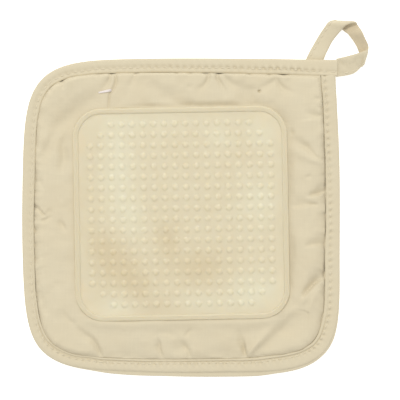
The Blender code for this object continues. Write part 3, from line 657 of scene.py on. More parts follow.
# Creases of the lower leg of the loop, in the same way as the folds of the front.
LOOP_CREASES = {
    "slanting crease": (
        Point(98.8, 98.8, 0.4, 0.8, 1.1),
        Point(101.4, 97.2, 1.3, 1.0, 1.3),
        Point(105.0, 94.8, 0.4, 1.3, 1.6),
    ),
    "hollow at the turn": (
        Point(107.0, 98.6, 0.0, 3.0, 2.0),
        Point(110.0, 95.6, 1.5, 5.0, 2.4),
        Point(112.6, 96.8, 1.4, 5.0, 2.4),
    ),
    "seam across": (
        Point(98.6, 100.0, 0.15, 0.7, 0.7),
        Point(98.6, 93.0, 0.1, 0.7, 0.7),
    ),
}

# The tape in section on the loop: four layers, from the raw edge of one face round the folded edge to the
# raw edge of the other. The distance from the folded edge is a length and a share of the width; the layer
# is on the front (1) or the back (-1), this deep below that face.
LoopFold = namedtuple("LoopFold", "place inwards share face depth steps")
LOOP_FOLDS = (
    LoopFold("raw edge", 0.0, 0.30, 1, 0.56, 1),
    LoopFold("turned in", -0.8, 1.0, 1, 0.56, 1),
    LoopFold("fold", -0.22, 1.0, 1, 0.46, 1),
    LoopFold("fold", -0.22, 1.0, 1, 0.28, 1),
    LoopFold("lip", -0.8, 1.0, 1, 0.17, 2),
    LoopFold(FRONT_STITCH, -2.0, 1.0, 1, 0.30, 2),
    LoopFold("face", -3.2, 1.0, 1, 0.17, 2),
    LoopFold("face", 0.0, 0.42, 1, 0.12, 2),
    LoopFold("face", 1.3, 0.0, 1, 0.20, 1),
    LoopFold("folded edge", 0.35, 0.0, 1, 0.42, 1),
    LoopFold("folded edge", 0.17, 0.0, 0, 0.0, 1),
    LoopFold("folded edge", 0.35, 0.0, -1, 0.42, 1),
    LoopFold("back", 1.3, 0.0, -1, 0.20, 2),
    LoopFold("back", -3.2, 1.0, -1, 0.17, 1),
    LoopFold(BACK_STITCH, -2.0, 1.0, -1, 0.30, 1),
    LoopFold("back lip", -0.8, 1.0, -1, 0.17, 1),
    LoopFold("fold", -0.22, 1.0, -1, 0.28, 1),
    LoopFold("fold", -0.22, 1.0, -1, 0.46, 1),
    LoopFold("turned in", -0.8, 1.0, -1, 0.56, 1),
    LoopFold("raw edge", 0.0, 0.30, -1, 0.56, 0),
)

# ---- Grip patch

PATCH_WIDTH, PATCH_HEIGHT = 134.5, 133.5
PATCH_MIDDLE = (0.3, 2.4)
PATCH_TURN = 1.0  # degrees anticlockwise
PATCH_CORNER = 18.0  # radius
PATCH_SHEET = 1.5  # from the seat to the moulded face
RIM_WIDTH, RIM_RISE = 3.5, 0.65
DOT_ROWS = 18  # and as many columns
DOTS_CUT_AT_CORNERS = (2, 1)  # dots left out at each end of the first rows and of the last
RINGS_TO_DOT_EDGE = 4  # mesh rings from the middle of a dot to its edge
RINGS_TO_CELL_EDGE = 6  # and to the edge of its square cell
DOT_FOOT = 1.2  # radius of the foot of a dot's edge, as a share of the dot's radius
DOT_CROWDING = 0.92  # below 1 the rings lie closer together towards the dot's edge
FILLET = 0.05  # height of the soft foot of a dot
EDGE_ROUND, EDGE_LOW = 0.7, 0.45  # width of the patch's rounded border, and its share of height outside
CORNER_START, CORNER_RUN = 0.27, 0.45  # where a corner's square rings begin to turn round, and over what
UNDER_RINGS = (1.0, 0.8, 0.55, 0.3, 0.1)  # rings of the underside, as shares of the way to the border
UNDER_GAP = 0.06  # from the seat to the underside

# Lines of the mesh outside the dots, by their distance in from the edge of the patch.
RIM_LINES = (0.0, 0.04, 0.15, 0.35, 0.65, 1.1, 1.75, 2.4, 2.9, 3.2, 3.38, 3.5, 3.62, 3.85, 4.4, 5.2, 6.2)

# Soft ovals where the silicone is paler than elsewhere, or darker and browner where paler is below zero.
Tone = namedtuple("Tone", "place x y reach_x reach_y turn paler")
PATCH_TONES = (
    Tone("upper left band", -39.0, 34.0, 11.0, 30.0, 4.0, 0.9),
    Tone("upper left band, foot", -31.0, 0.0, 9.0, 18.0, 15.0, 0.6),
    Tone("top", -18.0, 59.0, 30.0, 6.0, 0.0, 0.45),
    Tone("top, right of the middle", 24.0, 51.0, 9.0, 6.0, -20.0, 0.55),
    Tone("top right corner", 50.0, 52.0, 10.0, 11.0, 0.0, 0.6),
    Tone("right", 48.0, 12.0, 12.0, 16.0, 0.0, 0.8),
    Tone("bottom right", 46.0, -46.0, 18.0, 11.0, 15.0, 0.95),
    Tone("bottom, middle", 12.0, -53.0, 16.0, 6.0, 0.0, 0.5),
    Tone("bottom left", -41.0, -57.0, 11.0, 7.0, 0.0, 0.8),
    Tone("left strip", -59.0, 20.0, 6.0, 30.0, 0.0, -0.25),
    Tone("lower left, core", -38.0, -30.0, 14.0, 13.0, -50.0, -1.0),
    Tone("lower left, along", -50.0, -18.0, 8.0, 12.0, 30.0, -0.8),
    Tone("lower left, foot", -26.0, -44.0, 9.0, 10.0, 0.0, -0.7),
    Tone("middle, small", -9.0, -14.0, 7.0, 11.0, 0.0, -0.9),
    Tone("lower middle", 12.0, -31.0, 17.0, 12.0, 10.0, -1.0),
    Tone("bottom, brown", -10.0, -57.0, 12.0, 7.0, 0.0, -0.5),
    Tone("upper right, small", 39.0, 42.0, 8.0, 7.0, 0.0, -0.2),
)

# ---- Sewing

STITCH_STATIONS = (-0.99, -0.8, -0.45, 0.0, 0.45, 0.8, 0.99)  # along a stitch, in half lengths
STITCH_STANDS, STITCH_DIP = 0.22, 0.62  # its middle line over the cloth and its ends' dip, in thicknesses
STITCH_FLATNESS = 1.15  # its width over its thickness
STITCH_SLANT, STITCH_SWING = 0.10, 2.4  # how far stitches turn aside, and how that swings along the row
TACK_FROM, TACK_TO = (-52.0, 78.2), (-43.0, 79.9)
TACK_STRANDS, TACK_SPACING, TACK_RADIUS = 3, 0.44, 0.31
TACK_STANDS, TACK_DIP, TACK_STAGGER = 0.45, 1.1, 0.05  # over the cloth, at the ends, from strand to strand
TACK_HALF_THREAD, TACK_ROUND = 4.6, 0.3  # half its length, and its radius, as its material counts them
TACK_STATIONS, TACK_SIDES = 25, 10  # points along a strand, and round it

# ---- Stage, in metres

FLOOR_HALF = 3.0
LAMP_PLACE, LAMP_SIZE = (-0.38, 2.58, 4.02), (1.4, 1.2)
CAMERA_OVER, CAMERA_DISTANCE = (0.01203, 0.01096), 1.5
FACE_HEIGHT = 0.005  # of the front that the distance and the width of the frame are for
SENSOR = 36.0  # width of the camera's sensor, in its own millimetres


# ---------------------------------------------------------------- shapes


def evenly_open(exponent, inset):
    """The exponent of a corner drawn in by inset with its sides, so that the band between is even."""
    diagonal = math.sqrt(2.0)
    gap = (1 - 2 ** (-1 / exponent)) * HALF_SIZE * diagonal
    gap_inside = np.maximum(gap - (diagonal - 1) * inset, LEAST_CORNER_GAP)
    half = np.maximum(HALF_SIZE - inset, LEAST_CORNER_GAP)
    share = np.clip(gap_inside / (half * diagonal), 0.001, 0.3)
    return -1 / np.log2(1 - share)


def outline(angle, inset):
    """Points of the holder's edge at these angles, drawn in by inset.

    Each quarter is a superellipse with its own exponent, |u|^p + |v|^p = 1, and its sides bow outwards by a
    share of the square of the way along them.
    """
    across, up = np.cos(angle), np.sin(angle)
    right, top = across >= 0, up >= 0
    quarters = np.array([BOTTOM_LEFT, BOTTOM_RIGHT, TOP_LEFT, TOP_RIGHT])
    exponent, upright_bow, level_bow = np.moveaxis(quarters[right + 2 * top], -1, 0)
    power = evenly_open(exponent, inset)
    radius = (np.abs(across) ** power + np.abs(up) ** power) ** (-1 / power)
    u, v = radius * across, radius * up
    reach_x = np.where(right, REACH_RIGHT, REACH_LEFT) - inset
    reach_y = np.where(top, REACH_TOP, REACH_BOTTOM) - inset
    return np.stack([u * reach_x * (1 - upright_bow * v**2), v * reach_y * (1 - level_bow * u**2)], axis=-1)


def bell(off, reach):
    """1 at the middle, falling off as exp(-(off / reach)^2)."""
    return np.exp(-((off / reach) ** 2))


def unit(vectors):
    """Vectors along the last axis, each divided by its length."""
    return vectors / np.linalg.norm(vectors, axis=-1, keepdims=True)


def run_along(points):
    """Distance from the first point to each, along the straight lines between them."""
    return np.concatenate([[0.0], np.cumsum(np.linalg.norm(np.diff(points, axis=0), axis=1))])


def column_of(table, name):
    """One column of a table as an array."""
    return np.array([getattr(row, name) for row in table])


def by_direction(angle, column):
    """A column of the binding's table at these angles: straight lines between its rows."""
    directions = column_of(EDGE_FORMS, "direction")
    turned = directions[0] + np.mod(np.degrees(angle) - directions[0], 360.0)
    return np.interp(turned, directions, column_of(EDGE_FORMS, column))


def ease(share):
    """0 to 1 with a level start and end: 3 s^2 - 2 s^3, held outside that range."""
    share = np.clip(share, 0.0, 1.0)
    return share**2 * (3 - 2 * share)


def drift(at, spacing, seed):
    """Smooth unevenness from -1 to 1 along a line: a seeded value every spacing, eased between them."""
    values = np.random.default_rng(seed).uniform(-1, 1, 512)
    place = np.asarray(at) / spacing + 7.0
    low = np.floor(place).astype(int)
    share = ease(place - low)
    return values[low % 512] * (1 - share) + values[(low + 1) % 512] * share


def drifting(along, rows):
    """The drifts of several rows summed, each as large as its row says."""
    return sum(row.size * drift(along, row.spacing, row.seed) for row in rows)


def unevenness(x, y, spacing, seed):
    """Smooth unevenness from -1 to 1 over a plane: a seeded value at each point of a lattice, eased."""
    size = 64
    values = np.random.default_rng(seed).uniform(-1, 1, (size, size))
    across, up = x / spacing + size, y / spacing + size
    i, j = np.floor(across).astype(int), np.floor(up).astype(int)
    s, t = ease(across - i), ease(up - j)
    left = values[i % size, j % size] * (1 - t) + values[i % size, (j + 1) % size] * t
    right = values[(i + 1) % size, j % size] * (1 - t) + values[(i + 1) % size, (j + 1) % size] * t
    return left * (1 - s) + right * s


def fold_depth(x, y, folds=FOLDS):
    """How far the folds draw the front in.

    depth * exp(-(off / width)^2) from each fold's line, a smooth curve through its points, as are its depth
    and its widths; where two runs of the curve meet, the one that is nearer for its width counts.
    """
    depth = np.zeros_like(x)
    for points in folds.values():
        rows = [Point(*row) for row in through(np.array(points), FOLD_STEPS)]
        nearest, here = np.full_like(x, np.inf), np.zeros_like(x)
        for start, end in zip(rows, rows[1:]):
            run_x, run_y = end.x - start.x, end.y - start.y
            from_x, from_y = x - start.x, y - start.y
            share = np.clip((from_x * run_x + from_y * run_y) / (run_x**2 + run_y**2), 0.0, 1.0)
            off = np.hypot(from_x - share * run_x, from_y - share * run_y)
            side = (run_x * from_y - run_y * from_x) / (np.hypot(run_x, run_y) * np.maximum(off, 1e-6))
            left, right = (a + share * (b - a) for a, b in ((start.left, end.left), (start.right, end.right)))
            ratio = off / (right + (left - right) * ease((side + 1) / 2))
            closer = ratio < nearest
            nearest = np.where(closer, ratio, nearest)
            drawn_in = start.depth + share * (end.depth - start.depth)
            here = np.where(closer, drawn_in * np.exp(-(ratio**2)), here)
        depth += here
    return depth


def seat_height(x, y):
    """Height of the low crown that the patch lies on: a parabola about the middle of the patch."""
    off_middle = np.hypot(x - PATCH_MIDDLE[0], y - PATCH_MIDDLE[1]) / (PATCH_WIDTH / 2)
    return PATCH_SEAT + CROWN * np.maximum(1 - off_middle**2 / 2, 0.0)


def outside_patch(x, y):
    """0 under the patch, rising to 1 just inside its border, a superellipse."""
    across = np.abs(x - PATCH_MIDDLE[0]) / (PATCH_WIDTH / 2)
    up = np.abs(y - PATCH_MIDDLE[1]) / (PATCH_HEIGHT / 2)
    radius = (across**SEAT_SQUARENESS + up**SEAT_SQUARENESS) ** (1 / SEAT_SQUARENESS)
    return ease((radius - 1) * PATCH_WIDTH / 2 / SEAT_FADE + 1)


def pit(x, y, nick):
    """Depth of a round pit, its depth times exp(-(off / reach)^2)."""
    return nick.depth * np.exp(-((x - nick.x) ** 2 + (y - nick.y) ** 2) / nick.reach**2)


def front_height(x, y):
    """Height of the pad's front away from the binding: crown, puffed margin, folds and slack in the cloth."""
    seat = seat_height(x, y)
    slack = sum(row.size * unevenness(x, y, row.spacing, row.seed) for row in SLACK)
    folded = MARGIN_TOP - fold_depth(x, y) - pit(x, y, SPECK) + slack
    return seat + outside_patch(x, y) * (folded - seat)


def round_square(count):
    """Angles of count points evenly spaced round a square about the middle, anticlockwise."""
    t = np.arange(count) / count * 8
    side, share = np.floor(t / 2).astype(int), np.mod(t, 2) - 1
    corner = np.array([[1, 0], [0, 1], [-1, 0], [0, -1]])
    ahead = np.array([[0, 1], [-1, 0], [0, -1], [1, 0]])
    place = corner[side] + share[:, None] * ahead[side]
    return np.arctan2(place[:, 1], place[:, 0])


def through(rows, steps):
    """A smooth curve through the rows of a table: Catmull-Rom, with that many steps between two rows."""
    padded = np.vstack([2 * rows[0] - rows[1], rows, 2 * rows[-1] - rows[-2]])
    t = (np.arange(steps) / steps)[:, None]
    pieces = []
    for a, b, c, d in zip(padded, padded[1:], padded[2:], padded[3:]):
        pieces.append(
            b
            + (c - a) / 2 * t
            + (2 * a - 5 * b + 4 * c - d) / 2 * t**2
            + (3 * b - a - 3 * c + d) / 2 * t**3
        )
    return np.vstack([*pieces, rows[-1]])


def rounded_path(points, steps):
    """Smooth paths through control points (path, point, xy), with steps[i] steps from point i to the next.

    Cubic Hermite pieces, whose tangents weigh the chords on both sides by the other one's length.
    """
    chord = np.diff(points, axis=1)
    length = np.linalg.norm(chord, axis=2, keepdims=True).mean(axis=0, keepdims=True)
    slope = chord / length
    before, after = length[:, :-1], length[:, 1:]
    inner = (slope[:, :-1] * after + slope[:, 1:] * before) / (before + after)
    tangent = np.concatenate([slope[:, :1], inner, slope[:, -1:]], axis=1)
    pieces = []
    for i, count in enumerate(steps):
        t = (np.arange(count) / count)[None, :, None]
        start, end = points[:, i : i + 1], points[:, i + 1 : i + 2]
        leave, arrive = (tangent[:, k : k + 1] * length[:, i : i + 1] for k in (i, i + 1))
        pieces.append(
            start * (2 * t**3 - 3 * t**2 + 1)
            + leave * (t**3 - 2 * t**2 + t)
            + end * (3 * t**2 - 2 * t**3)
            + arrive * (t**3 - t**2)
        )
    return np.concatenate([*pieces, points[:, -1:]], axis=1)


def thickened(path, thickness):
    """Rings round paths (path, point, xy): out by half the thickness, and back along the other side."""
    tangent = unit(np.gradient(path, axis=1))
    normal = np.stack([-tangent[..., 1], tangent[..., 0]], axis=-1) * thickness / 2
    return np.concatenate([path + normal, (path - normal)[:, ::-1]], axis=1)


# ---------------------------------------------------------------- meshes


def quads_of(rows, columns, closed):
    """Corner numbers of the quads of a grid of points, whose columns join up round it where closed."""
    numbers = np.arange(rows * columns).reshape(rows, columns)
    if closed:
        numbers = np.concatenate([numbers, numbers[:, :1]], axis=1)
    corners = [numbers[:-1, :-1], numbers[:-1, 1:], numbers[1:, 1:], numbers[1:, :-1]]
    return np.stack(corners, axis=-1).reshape(-1, 4)


def add_mesh(name, points, quads, triangles=None, uv=None, crease=180.0):
    """Makes an object from points in millimetres and corner numbers, with its faces outward.

    The faces are turned over where the volume, the sum of a . (b x c) / 6 over their triangles, is below
    zero. uv gives each point's place on the cloth, in metres. Edges turn sharp beyond crease degrees.
    """
    if triangles is None:
        triangles = np.empty((0, 3), int)
    split = np.concatenate([quads[:, [0, 1, 2]], quads[:, [0, 2, 3]], triangles])
    a, b, c = points[split[:, 0]], points[split[:, 1]], points[split[:, 2]]
    if (a * np.cross(b, c)).sum() < 0:
        quads, triangles = quads[:, ::-1], triangles[:, ::-1]
    corners = np.concatenate([quads.ravel(), triangles.ravel()]).astype(np.int32)
    sizes = np.concatenate([np.full(len(quads), 4), np.full(len(triangles), 3)])
    mesh = bpy.data.meshes.new(name)
    mesh.vertices.add(len(points))
    mesh.vertices.foreach_set("co", (points * MM).astype(np.float32).ravel())
    mesh.loops.add(len(corners))
    mesh.loops.foreach_set("vertex_index", corners)
    mesh.polygons.add(len(sizes))
    mesh.polygons.foreach_set("loop_start", (np.cumsum(sizes) - sizes).astype(np.int32))
    mesh.update(calc_edges=True)
    if uv is not None:
        mesh.uv_layers.new(name="cloth").data.foreach_set("uv", uv[corners].astype(np.float32).ravel())
    mesh.validate()
    mesh.shade_smooth()
    mesh.set_sharp_from_angle(angle=math.radians(crease))
    made = bpy.data.objects.new(name, mesh)
    bpy.context.scene.collection.objects.link(made)
    return made


def add_tape(name, origin, across, rise, path, thickness):
    """A strip of cloth carried along: at each origin, its section path lies in the plane of across and rise.

    Each path is thickened to a ring, the rings are joined, and both ends are closed with a strip of quads.
    The place on the cloth is the distance along the tape and the distance along the section.
    """
    ring = thickened(path, thickness)
    count = ring.shape[1]
    points = origin[:, None] + ring[..., :1] * across[:, None] + ring[..., 1:] * rise[:, None]
    along, run = run_along(points.mean(axis=1)), run_along(path.mean(axis=0))
    run = np.concatenate([run, run[::-1]])
    uv = np.stack(np.broadcast_arrays(along[:, None], run[None, :]), axis=-1).reshape(-1, 2) * MM
    strip = np.arange(count // 2 - 1)
    cap = np.stack([strip, strip + 1, count - 2 - strip, count - 1 - strip], axis=-1)
    last = (len(origin) - 1) * count
    quads = np.concatenate([quads_of(len(origin), count, True), cap[:, ::-1], cap + last])
    return add_mesh(name, points.reshape(-1, 3), quads, uv=uv, crease=60.0)


def add_layer(made, name, values):
    """Gives each point of a piece a number that its material reads by this name."""
    layer = made.data.attributes.new(name, "FLOAT", "POINT")
    layer.data.foreach_set("value", values.astype(np.float32))


def finish_piece(made, node, material):
    """Gives a piece its material, puts it on the root body and hides the solid of the node that it stands
    for.
    """
    made.data.materials.clear()
    made.data.materials.append(material)
    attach(made, "root")
    if node:
        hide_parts(node)
    return made


# ---------------------------------------------------------------- shader node groups and materials


class Nodes:
    """Adds nodes to a tree, each fed by numbers or by other nodes' sockets."""

    def __init__(self, tree):
        self.tree = tree

    def add(self, kind, inputs=None, **settings):
        node = self.tree.nodes.new(kind)
        for key, value in settings.items():
            setattr(node, key, value)
        for key, value in (inputs or {}).items():
            self.feed(node.inputs[key], value)
        return node

    def feed(self, socket, value):
        if isinstance(value, bpy.types.NodeSocket):
            self.tree.links.new(value, socket)
        else:
            socket.default_value = value

    def math(self, operation, *values):
        node = self.add("ShaderNodeMath", operation=operation)
        for socket, value in zip(node.inputs, values):
            self.feed(socket, value)
        return node.outputs[0]

    def mix(self, share, low, high):
        node = self.add("ShaderNodeMix", data_type="RGBA")
        self.feed(node.inputs[0], share)
        self.feed(node.inputs[6], low)
        self.feed(node.inputs[7], high)
        return node.outputs[2]

    def noise(self, vector, scale, detail=2.0, roughness=0.5):
        node = self.add(
            "ShaderNodeTexNoise", {"Vector": vector, "Scale": scale, "Detail": detail, "Roughness": roughness}
        )
        return node.outputs[0]


def new_group(name, inputs, outputs):
    """A shader node group with these named sockets, and the Nodes to fill it with."""
    tree = bpy.data.node_groups.new(name, "ShaderNodeTree")
    for label, kind, value in inputs:
        socket = tree.interface.new_socket(label, in_out="INPUT", socket_type=kind)
        if value is not None:
            socket.default_value = value
    for label, kind in outputs:
        tree.interface.new_socket(label, in_out="OUTPUT", socket_type=kind)
    nodes = Nodes(tree)
    return tree, nodes, nodes.add("NodeGroupInput"), nodes.add("NodeGroupOutput")


FLOAT, VECTOR = "NodeSocketFloat", "NodeSocketVector"


def plain_weave():
    """Group: the height of a plain weave, 0 to 1.

    Threads run both ways, one pitch apart. Each is a half sine across, and rises over every other crossing
    thread as half a cosine; the higher of the two shows.
    """
    name = "plain weave"
    if name in bpy.data.node_groups:
        return bpy.data.node_groups[name]
    tree, n, source, result = new_group(
        name, [("Vector", VECTOR, None), ("Pitch", FLOAT, 0.0005)], [("Height", FLOAT)]
    )
    parts = n.add("ShaderNodeSeparateXYZ", {0: source.outputs["Vector"]})
    x = n.math("DIVIDE", parts.outputs[0], source.outputs["Pitch"])
    y = n.math("DIVIDE", parts.outputs[1], source.outputs["Pitch"])

    def threads(across, along, sign):
        profile = n.math("ABSOLUTE", n.math("SINE", n.math("MULTIPLY", across, math.pi)))
        turn = n.math("MULTIPLY", n.math("ADD", along, n.math("FLOOR", across)), math.pi)
        over = n.math("MULTIPLY_ADD", n.math("COSINE", turn), sign * 0.5, 0.5)
        return n.math("MULTIPLY", profile, over)

    n.feed(result.inputs["Height"], n.math("MAXIMUM", threads(x, y, 1), threads(y, x, -1)))
    return tree


def uneven_yarn():
    """Group: yarn thicker and darker here and there, 0 to 1, in long streaks both ways in the cloth."""
    name = "uneven yarn"
    if name in bpy.data.node_groups:
        return bpy.data.node_groups[name]
    tree, n, source, result = new_group(
        name, [("Vector", VECTOR, None), ("Streak", FLOAT, 0.012)], [("Mask", FLOAT)]
    )
    parts = n.add("ShaderNodeSeparateXYZ", {0: source.outputs["Vector"]})
    long = n.math("DIVIDE", 1.0, source.outputs["Streak"])
    fine = n.math("MULTIPLY", long, 14.0)

    def streaks(across, along):
        x = n.math("MULTIPLY", parts.outputs[along], long)
        y = n.math("MULTIPLY", parts.outputs[across], fine)
        place = n.add("ShaderNodeCombineXYZ", {0: x, 1: y, 2: float(across)})
        return n.noise(place.outputs[0], 1.0, 3.0)

    both = n.math("ADD", streaks(0, 1), streaks(1, 0))
    n.feed(result.inputs["Mask"], n.math("MULTIPLY", both, 0.5))
    return tree


def clouding():
    """Group: soft cloudy unevenness, 0 to 1, from two sizes of noise."""
    name = "clouding"
    if name in bpy.data.node_groups:
        return bpy.data.node_groups[name]
    tree, n, source, result = new_group(
        name, [("Vector", VECTOR, None), ("Size", FLOAT, 0.03)], [("Mask", FLOAT)]
    )
    scale = n.math("DIVIDE", 1.0, source.outputs["Size"])
    broad = n.noise(source.outputs["Vector"], scale, 2.0)
    fine = n.noise(source.outputs["Vector"], n.math("MULTIPLY", scale, 4.0), 2.0)
    n.feed(result.inputs["Mask"], n.math("MULTIPLY_ADD", fine, 0.35, n.math("MULTIPLY", broad, 0.65)))
    return tree


def new_material(name):
    """An empty material with its Principled shader, and the Nodes to fill it with."""
    material = bpy.data.materials.new(name)
    material.use_nodes = True
    shader = material.node_tree.nodes["Principled BSDF"]
    return material, Nodes(material.node_tree), shader


def tinted(colour, factor):
    """A colour made lighter or darker, as the four numbers of a colour socket."""
    return (*[min(1.0, channel * factor) for channel in colour], 1.0)


def cotton(name, settings, colour, on_tape):
    """Plain-woven cotton, a little mottled: weave and uneven yarn in its relief, across the bias on tape. The
    weave's crowns are painted a little lighter as painted highlight, and on the loop its tip is painted
    darker and browner as painted shade.
    """
    if name in bpy.data.materials:
        return bpy.data.materials[name]
    material, n, shader = new_material(name)
    if on_tape:
        place = n.add("ShaderNodeUVMap", uv_map="cloth").outputs[0]
    else:
        place = n.add("ShaderNodeTexCoord").outputs["Object"]
    turned = n.add("ShaderNodeMapping", {"Vector": place})
    turned.inputs["Rotation"].default_value = (0.0, 0.0, math.radians(45.0 if on_tape else 1.0))
    cloth = turned.outputs[0]

    def group(maker, **inputs):
        return n.add("ShaderNodeGroup", {"Vector": cloth, **inputs}, node_tree=maker())

    weave = group(plain_weave, Pitch=settings.weave_pitch).outputs["Height"]
    yarn = group(uneven_yarn, Streak=0.014).outputs["Mask"]
    cloud = group(clouding, Size=0.030).outputs["Mask"]
    body = n.mix(n.math("MULTIPLY_ADD", yarn, 2.4, -0.7), tinted(colour, 0.965), tinted(colour, 1.035))
    warm = (colour[0] * 0.99, colour[1] * 0.965, colour[2] * 0.93)
    body = n.mix(n.math("MULTIPLY_ADD", cloud, 1.6, -0.55), body, tinted(warm, 1.0))
    # painted highlight: the weave's raised threads are painted a little lighter than the gaps between them
    body = n.mix(n.math("MULTIPLY", weave, 0.25), body, tinted(colour, 1.10))
    if on_tape:
        # painted shade: the loop's turned-under tip, which lies in the shade of its first fold, is painted
        # darker and browner
        painted_tip_shade = n.add("ShaderNodeAttribute", attribute_name="painted_tip_shade").outputs["Fac"]
        body = n.mix(painted_tip_shade, body, tinted((colour[0] * 0.93, colour[1] * 0.89, colour[2] * 0.85), 1.0))
    n.feed(shader.inputs["Base Color"], body)
    threads = n.add(
        "ShaderNodeBump", {"Height": weave, "Distance": 0.00008, "Strength": settings.weave_relief}
    )
    slubs = n.add(
        "ShaderNodeBump", {"Height": yarn, "Distance": 0.0006, "Strength": 0.25, "Normal": threads.outputs[0]}
    )
    n.feed(shader.inputs["Normal"], slubs.outputs[0])
    shader.inputs["Roughness"].default_value = 0.95
    shader.inputs["Specular IOR Level"].default_value = 0.2
    shader.inputs["Sheen Weight"].default_value = 0.12
    shader.inputs["Sheen Roughness"].default_value = 0.6
    return material


def thread(name, colour, roughness):
    """Sewing thread: fine twisted plies as a slanted wave across its own relief, and in its colour as painted
    shade in the grooves between them and painted highlight on their crowns.
    """
    if name in bpy.data.materials:
        return bpy.data.materials[name]
    material, n, shader = new_material(name)
    place = n.add("ShaderNodeUVMap", uv_map="cloth").outputs[0]
    turned = n.add("ShaderNodeMapping", {"Vector": place})
    turned.inputs["Rotation"].default_value = (0.0, 0.0, math.radians(35.0))
    wave = n.add("ShaderNodeTexWave", {"Vector": turned.outputs[0], "Scale": 900.0, "Distortion": 1.0})
    # painted shade and highlight: the same wave paints the grooves between the plies darker and their crowns
    # lighter
    n.feed(shader.inputs["Base Color"], n.mix(wave.outputs["Fac"], tinted(colour, 0.9), tinted(colour, 1.05)))
    twist = n.add("ShaderNodeBump", {"Height": wave.outputs["Fac"], "Distance": 0.00005, "Strength": 0.6})
    n.feed(shader.inputs["Normal"], twist.outputs[0])
    shader.inputs["Roughness"].default_value = roughness
    shader.inputs["Specular IOR Level"].default_value = 0.3
    return material


def silicone(settings):
    """Moulded silicone: a little paler and browner by its tones, with a fine matt grain, and a darker rim
    that is painted shade.
    """
    material, n, shader = new_material("silicone")
    place = n.add("ShaderNodeTexCoord").outputs["Object"]
    cloud = n.add("ShaderNodeGroup", {"Vector": place, "Size": 0.016}, node_tree=clouding()).outputs["Mask"]
    paler = n.add("ShaderNodeAttribute", attribute_name="paler").outputs["Fac"]
    rim = n.add("ShaderNodeAttribute", attribute_name="rim").outputs["Fac"]
    tone = n.math("ADD", paler, n.math("MULTIPLY_ADD", cloud, 1.0, -0.5))
    lighter = n.add("ShaderNodeClamp", {"Value": tone}).outputs[0]
    browner = n.add("ShaderNodeClamp", {"Value": n.math("MULTIPLY", tone, -1.0)}).outputs[0]
    body = n.mix(lighter, tinted(settings.colour, 1.0), tinted(settings.pale_colour, 1.0))
    body = n.mix(browner, body, tinted(settings.brown_colour, 1.0))
    # painted shade: the rim gets a darker copy of the silicone's colour, toning down the light on its raised
    # crest
    body = n.mix(rim, body, tinted(settings.shaded_rim_colour, 1.0))
    n.feed(shader.inputs["Base Color"], body)
    grain = n.noise(place, 1800.0, 3.0, 0.6)
    pits = n.add("ShaderNodeBump", {"Height": grain, "Distance": 0.00012, "Strength": 0.35})
    n.feed(shader.inputs["Normal"], pits.outputs[0])
    n.feed(shader.inputs["Roughness"], n.math("MULTIPLY_ADD", grain, 0.15, settings.roughness - 0.07))
    shader.inputs["Specular IOR Level"].default_value = 0.35
    shader.inputs["Subsurface Weight"].default_value = 0.7
    shader.inputs["Subsurface Radius"].default_value = (1.0, 0.9, 0.7)
    shader.inputs["Subsurface Scale"].default_value = 0.0022
    return material


# ---------------------------------------------------------------- settings


class ClothSettings(bpy.types.PropertyGroup):
    """Cotton of the pad, the binding and the loop."""

    colour: bpy.props.FloatVectorProperty(
        name="Cotton", description="Colour of the cloth", subtype="COLOR", size=3, min=0, max=1,
        default=(0.608, 0.537, 0.383),
    )
    tape_colour: bpy.props.FloatVectorProperty(
        name="Tape", description="Colour of the binding and the loop", subtype="COLOR", size=3, min=0, max=1,
        default=(0.603, 0.533, 0.381),
    )
    weave_pitch: bpy.props.FloatProperty(
        name="Weave pitch", description="From one thread to the next", unit="LENGTH", default=0.00042
    )
    weave_relief: bpy.props.FloatProperty(
        name="Weave relief", description="How strongly the threads stand out", default=0.35, min=0, max=1
    )


class PatchSettings(bpy.types.PropertyGroup):
    """The moulded grip patch."""

    dot_pitch: bpy.props.FloatProperty(
        name="Dot pitch", description="From one dot to the next", unit="LENGTH", default=0.00664
    )
    dot_radius: bpy.props.FloatProperty(
        name="Dot radius", description="Radius of a dot at its foot", unit="LENGTH", default=0.00205
    )
    dot_rise: bpy.props.FloatProperty(
        name="Dot rise", description="Height of a dot", unit="LENGTH", default=0.00065
    )
    colour: bpy.props.FloatVectorProperty(
        name="Silicone", description="Colour of most of the patch", subtype="COLOR", size=3, min=0, max=1,
        default=(0.655, 0.585, 0.417),
    )
    pale_colour: bpy.props.FloatVectorProperty(
        name="Pale", description="Colour of its palest parts", subtype="COLOR", size=3, min=0, max=1,
        default=(0.688, 0.642, 0.476),
    )
    brown_colour: bpy.props.FloatVectorProperty(
        name="Brown", description="Colour of its brownest parts", subtype="COLOR", size=3, min=0, max=1,
        default=(0.612, 0.525, 0.350),
    )
    # painted shade: darker than the silicone, to tone down the light that the raised rim catches
    shaded_rim_colour: bpy.props.FloatVectorProperty(
        name="Rim", description="Colour of the raised rim", subtype="COLOR", size=3, min=0, max=1,
        default=(0.618, 0.552, 0.392),
    )
    roughness: bpy.props.FloatProperty(
        name="Roughness", description="Roughness of the silicone", default=0.55, min=0, max=1
    )


class SewingSettings(bpy.types.PropertyGroup):
    """Threads."""

    pitch: bpy.props.FloatProperty(
        name="Stitch pitch", description="From one stitch to the next", unit="LENGTH", default=0.0045
    )
    length: bpy.props.FloatProperty(
        name="Stitch length", description="Length of a stitch that shows", unit="LENGTH", default=0.0030
    )
    thickness: bpy.props.FloatProperty(
        name="Thread", description="Thickness of the sewing thread", unit="LENGTH", default=0.00058
    )
    thread_colour: bpy.props.FloatVectorProperty(
        name="Thread colour", description="Colour of the topstitching", subtype="COLOR", size=3, min=0, max=1,
        default=(0.690, 0.615, 0.455),
    )
    tack_colour: bpy.props.FloatVectorProperty(
        name="Tack colour", description="Colour of the tack stitch", subtype="COLOR", size=3, min=0, max=1,
        default=(0.800, 0.730, 0.690),
    )


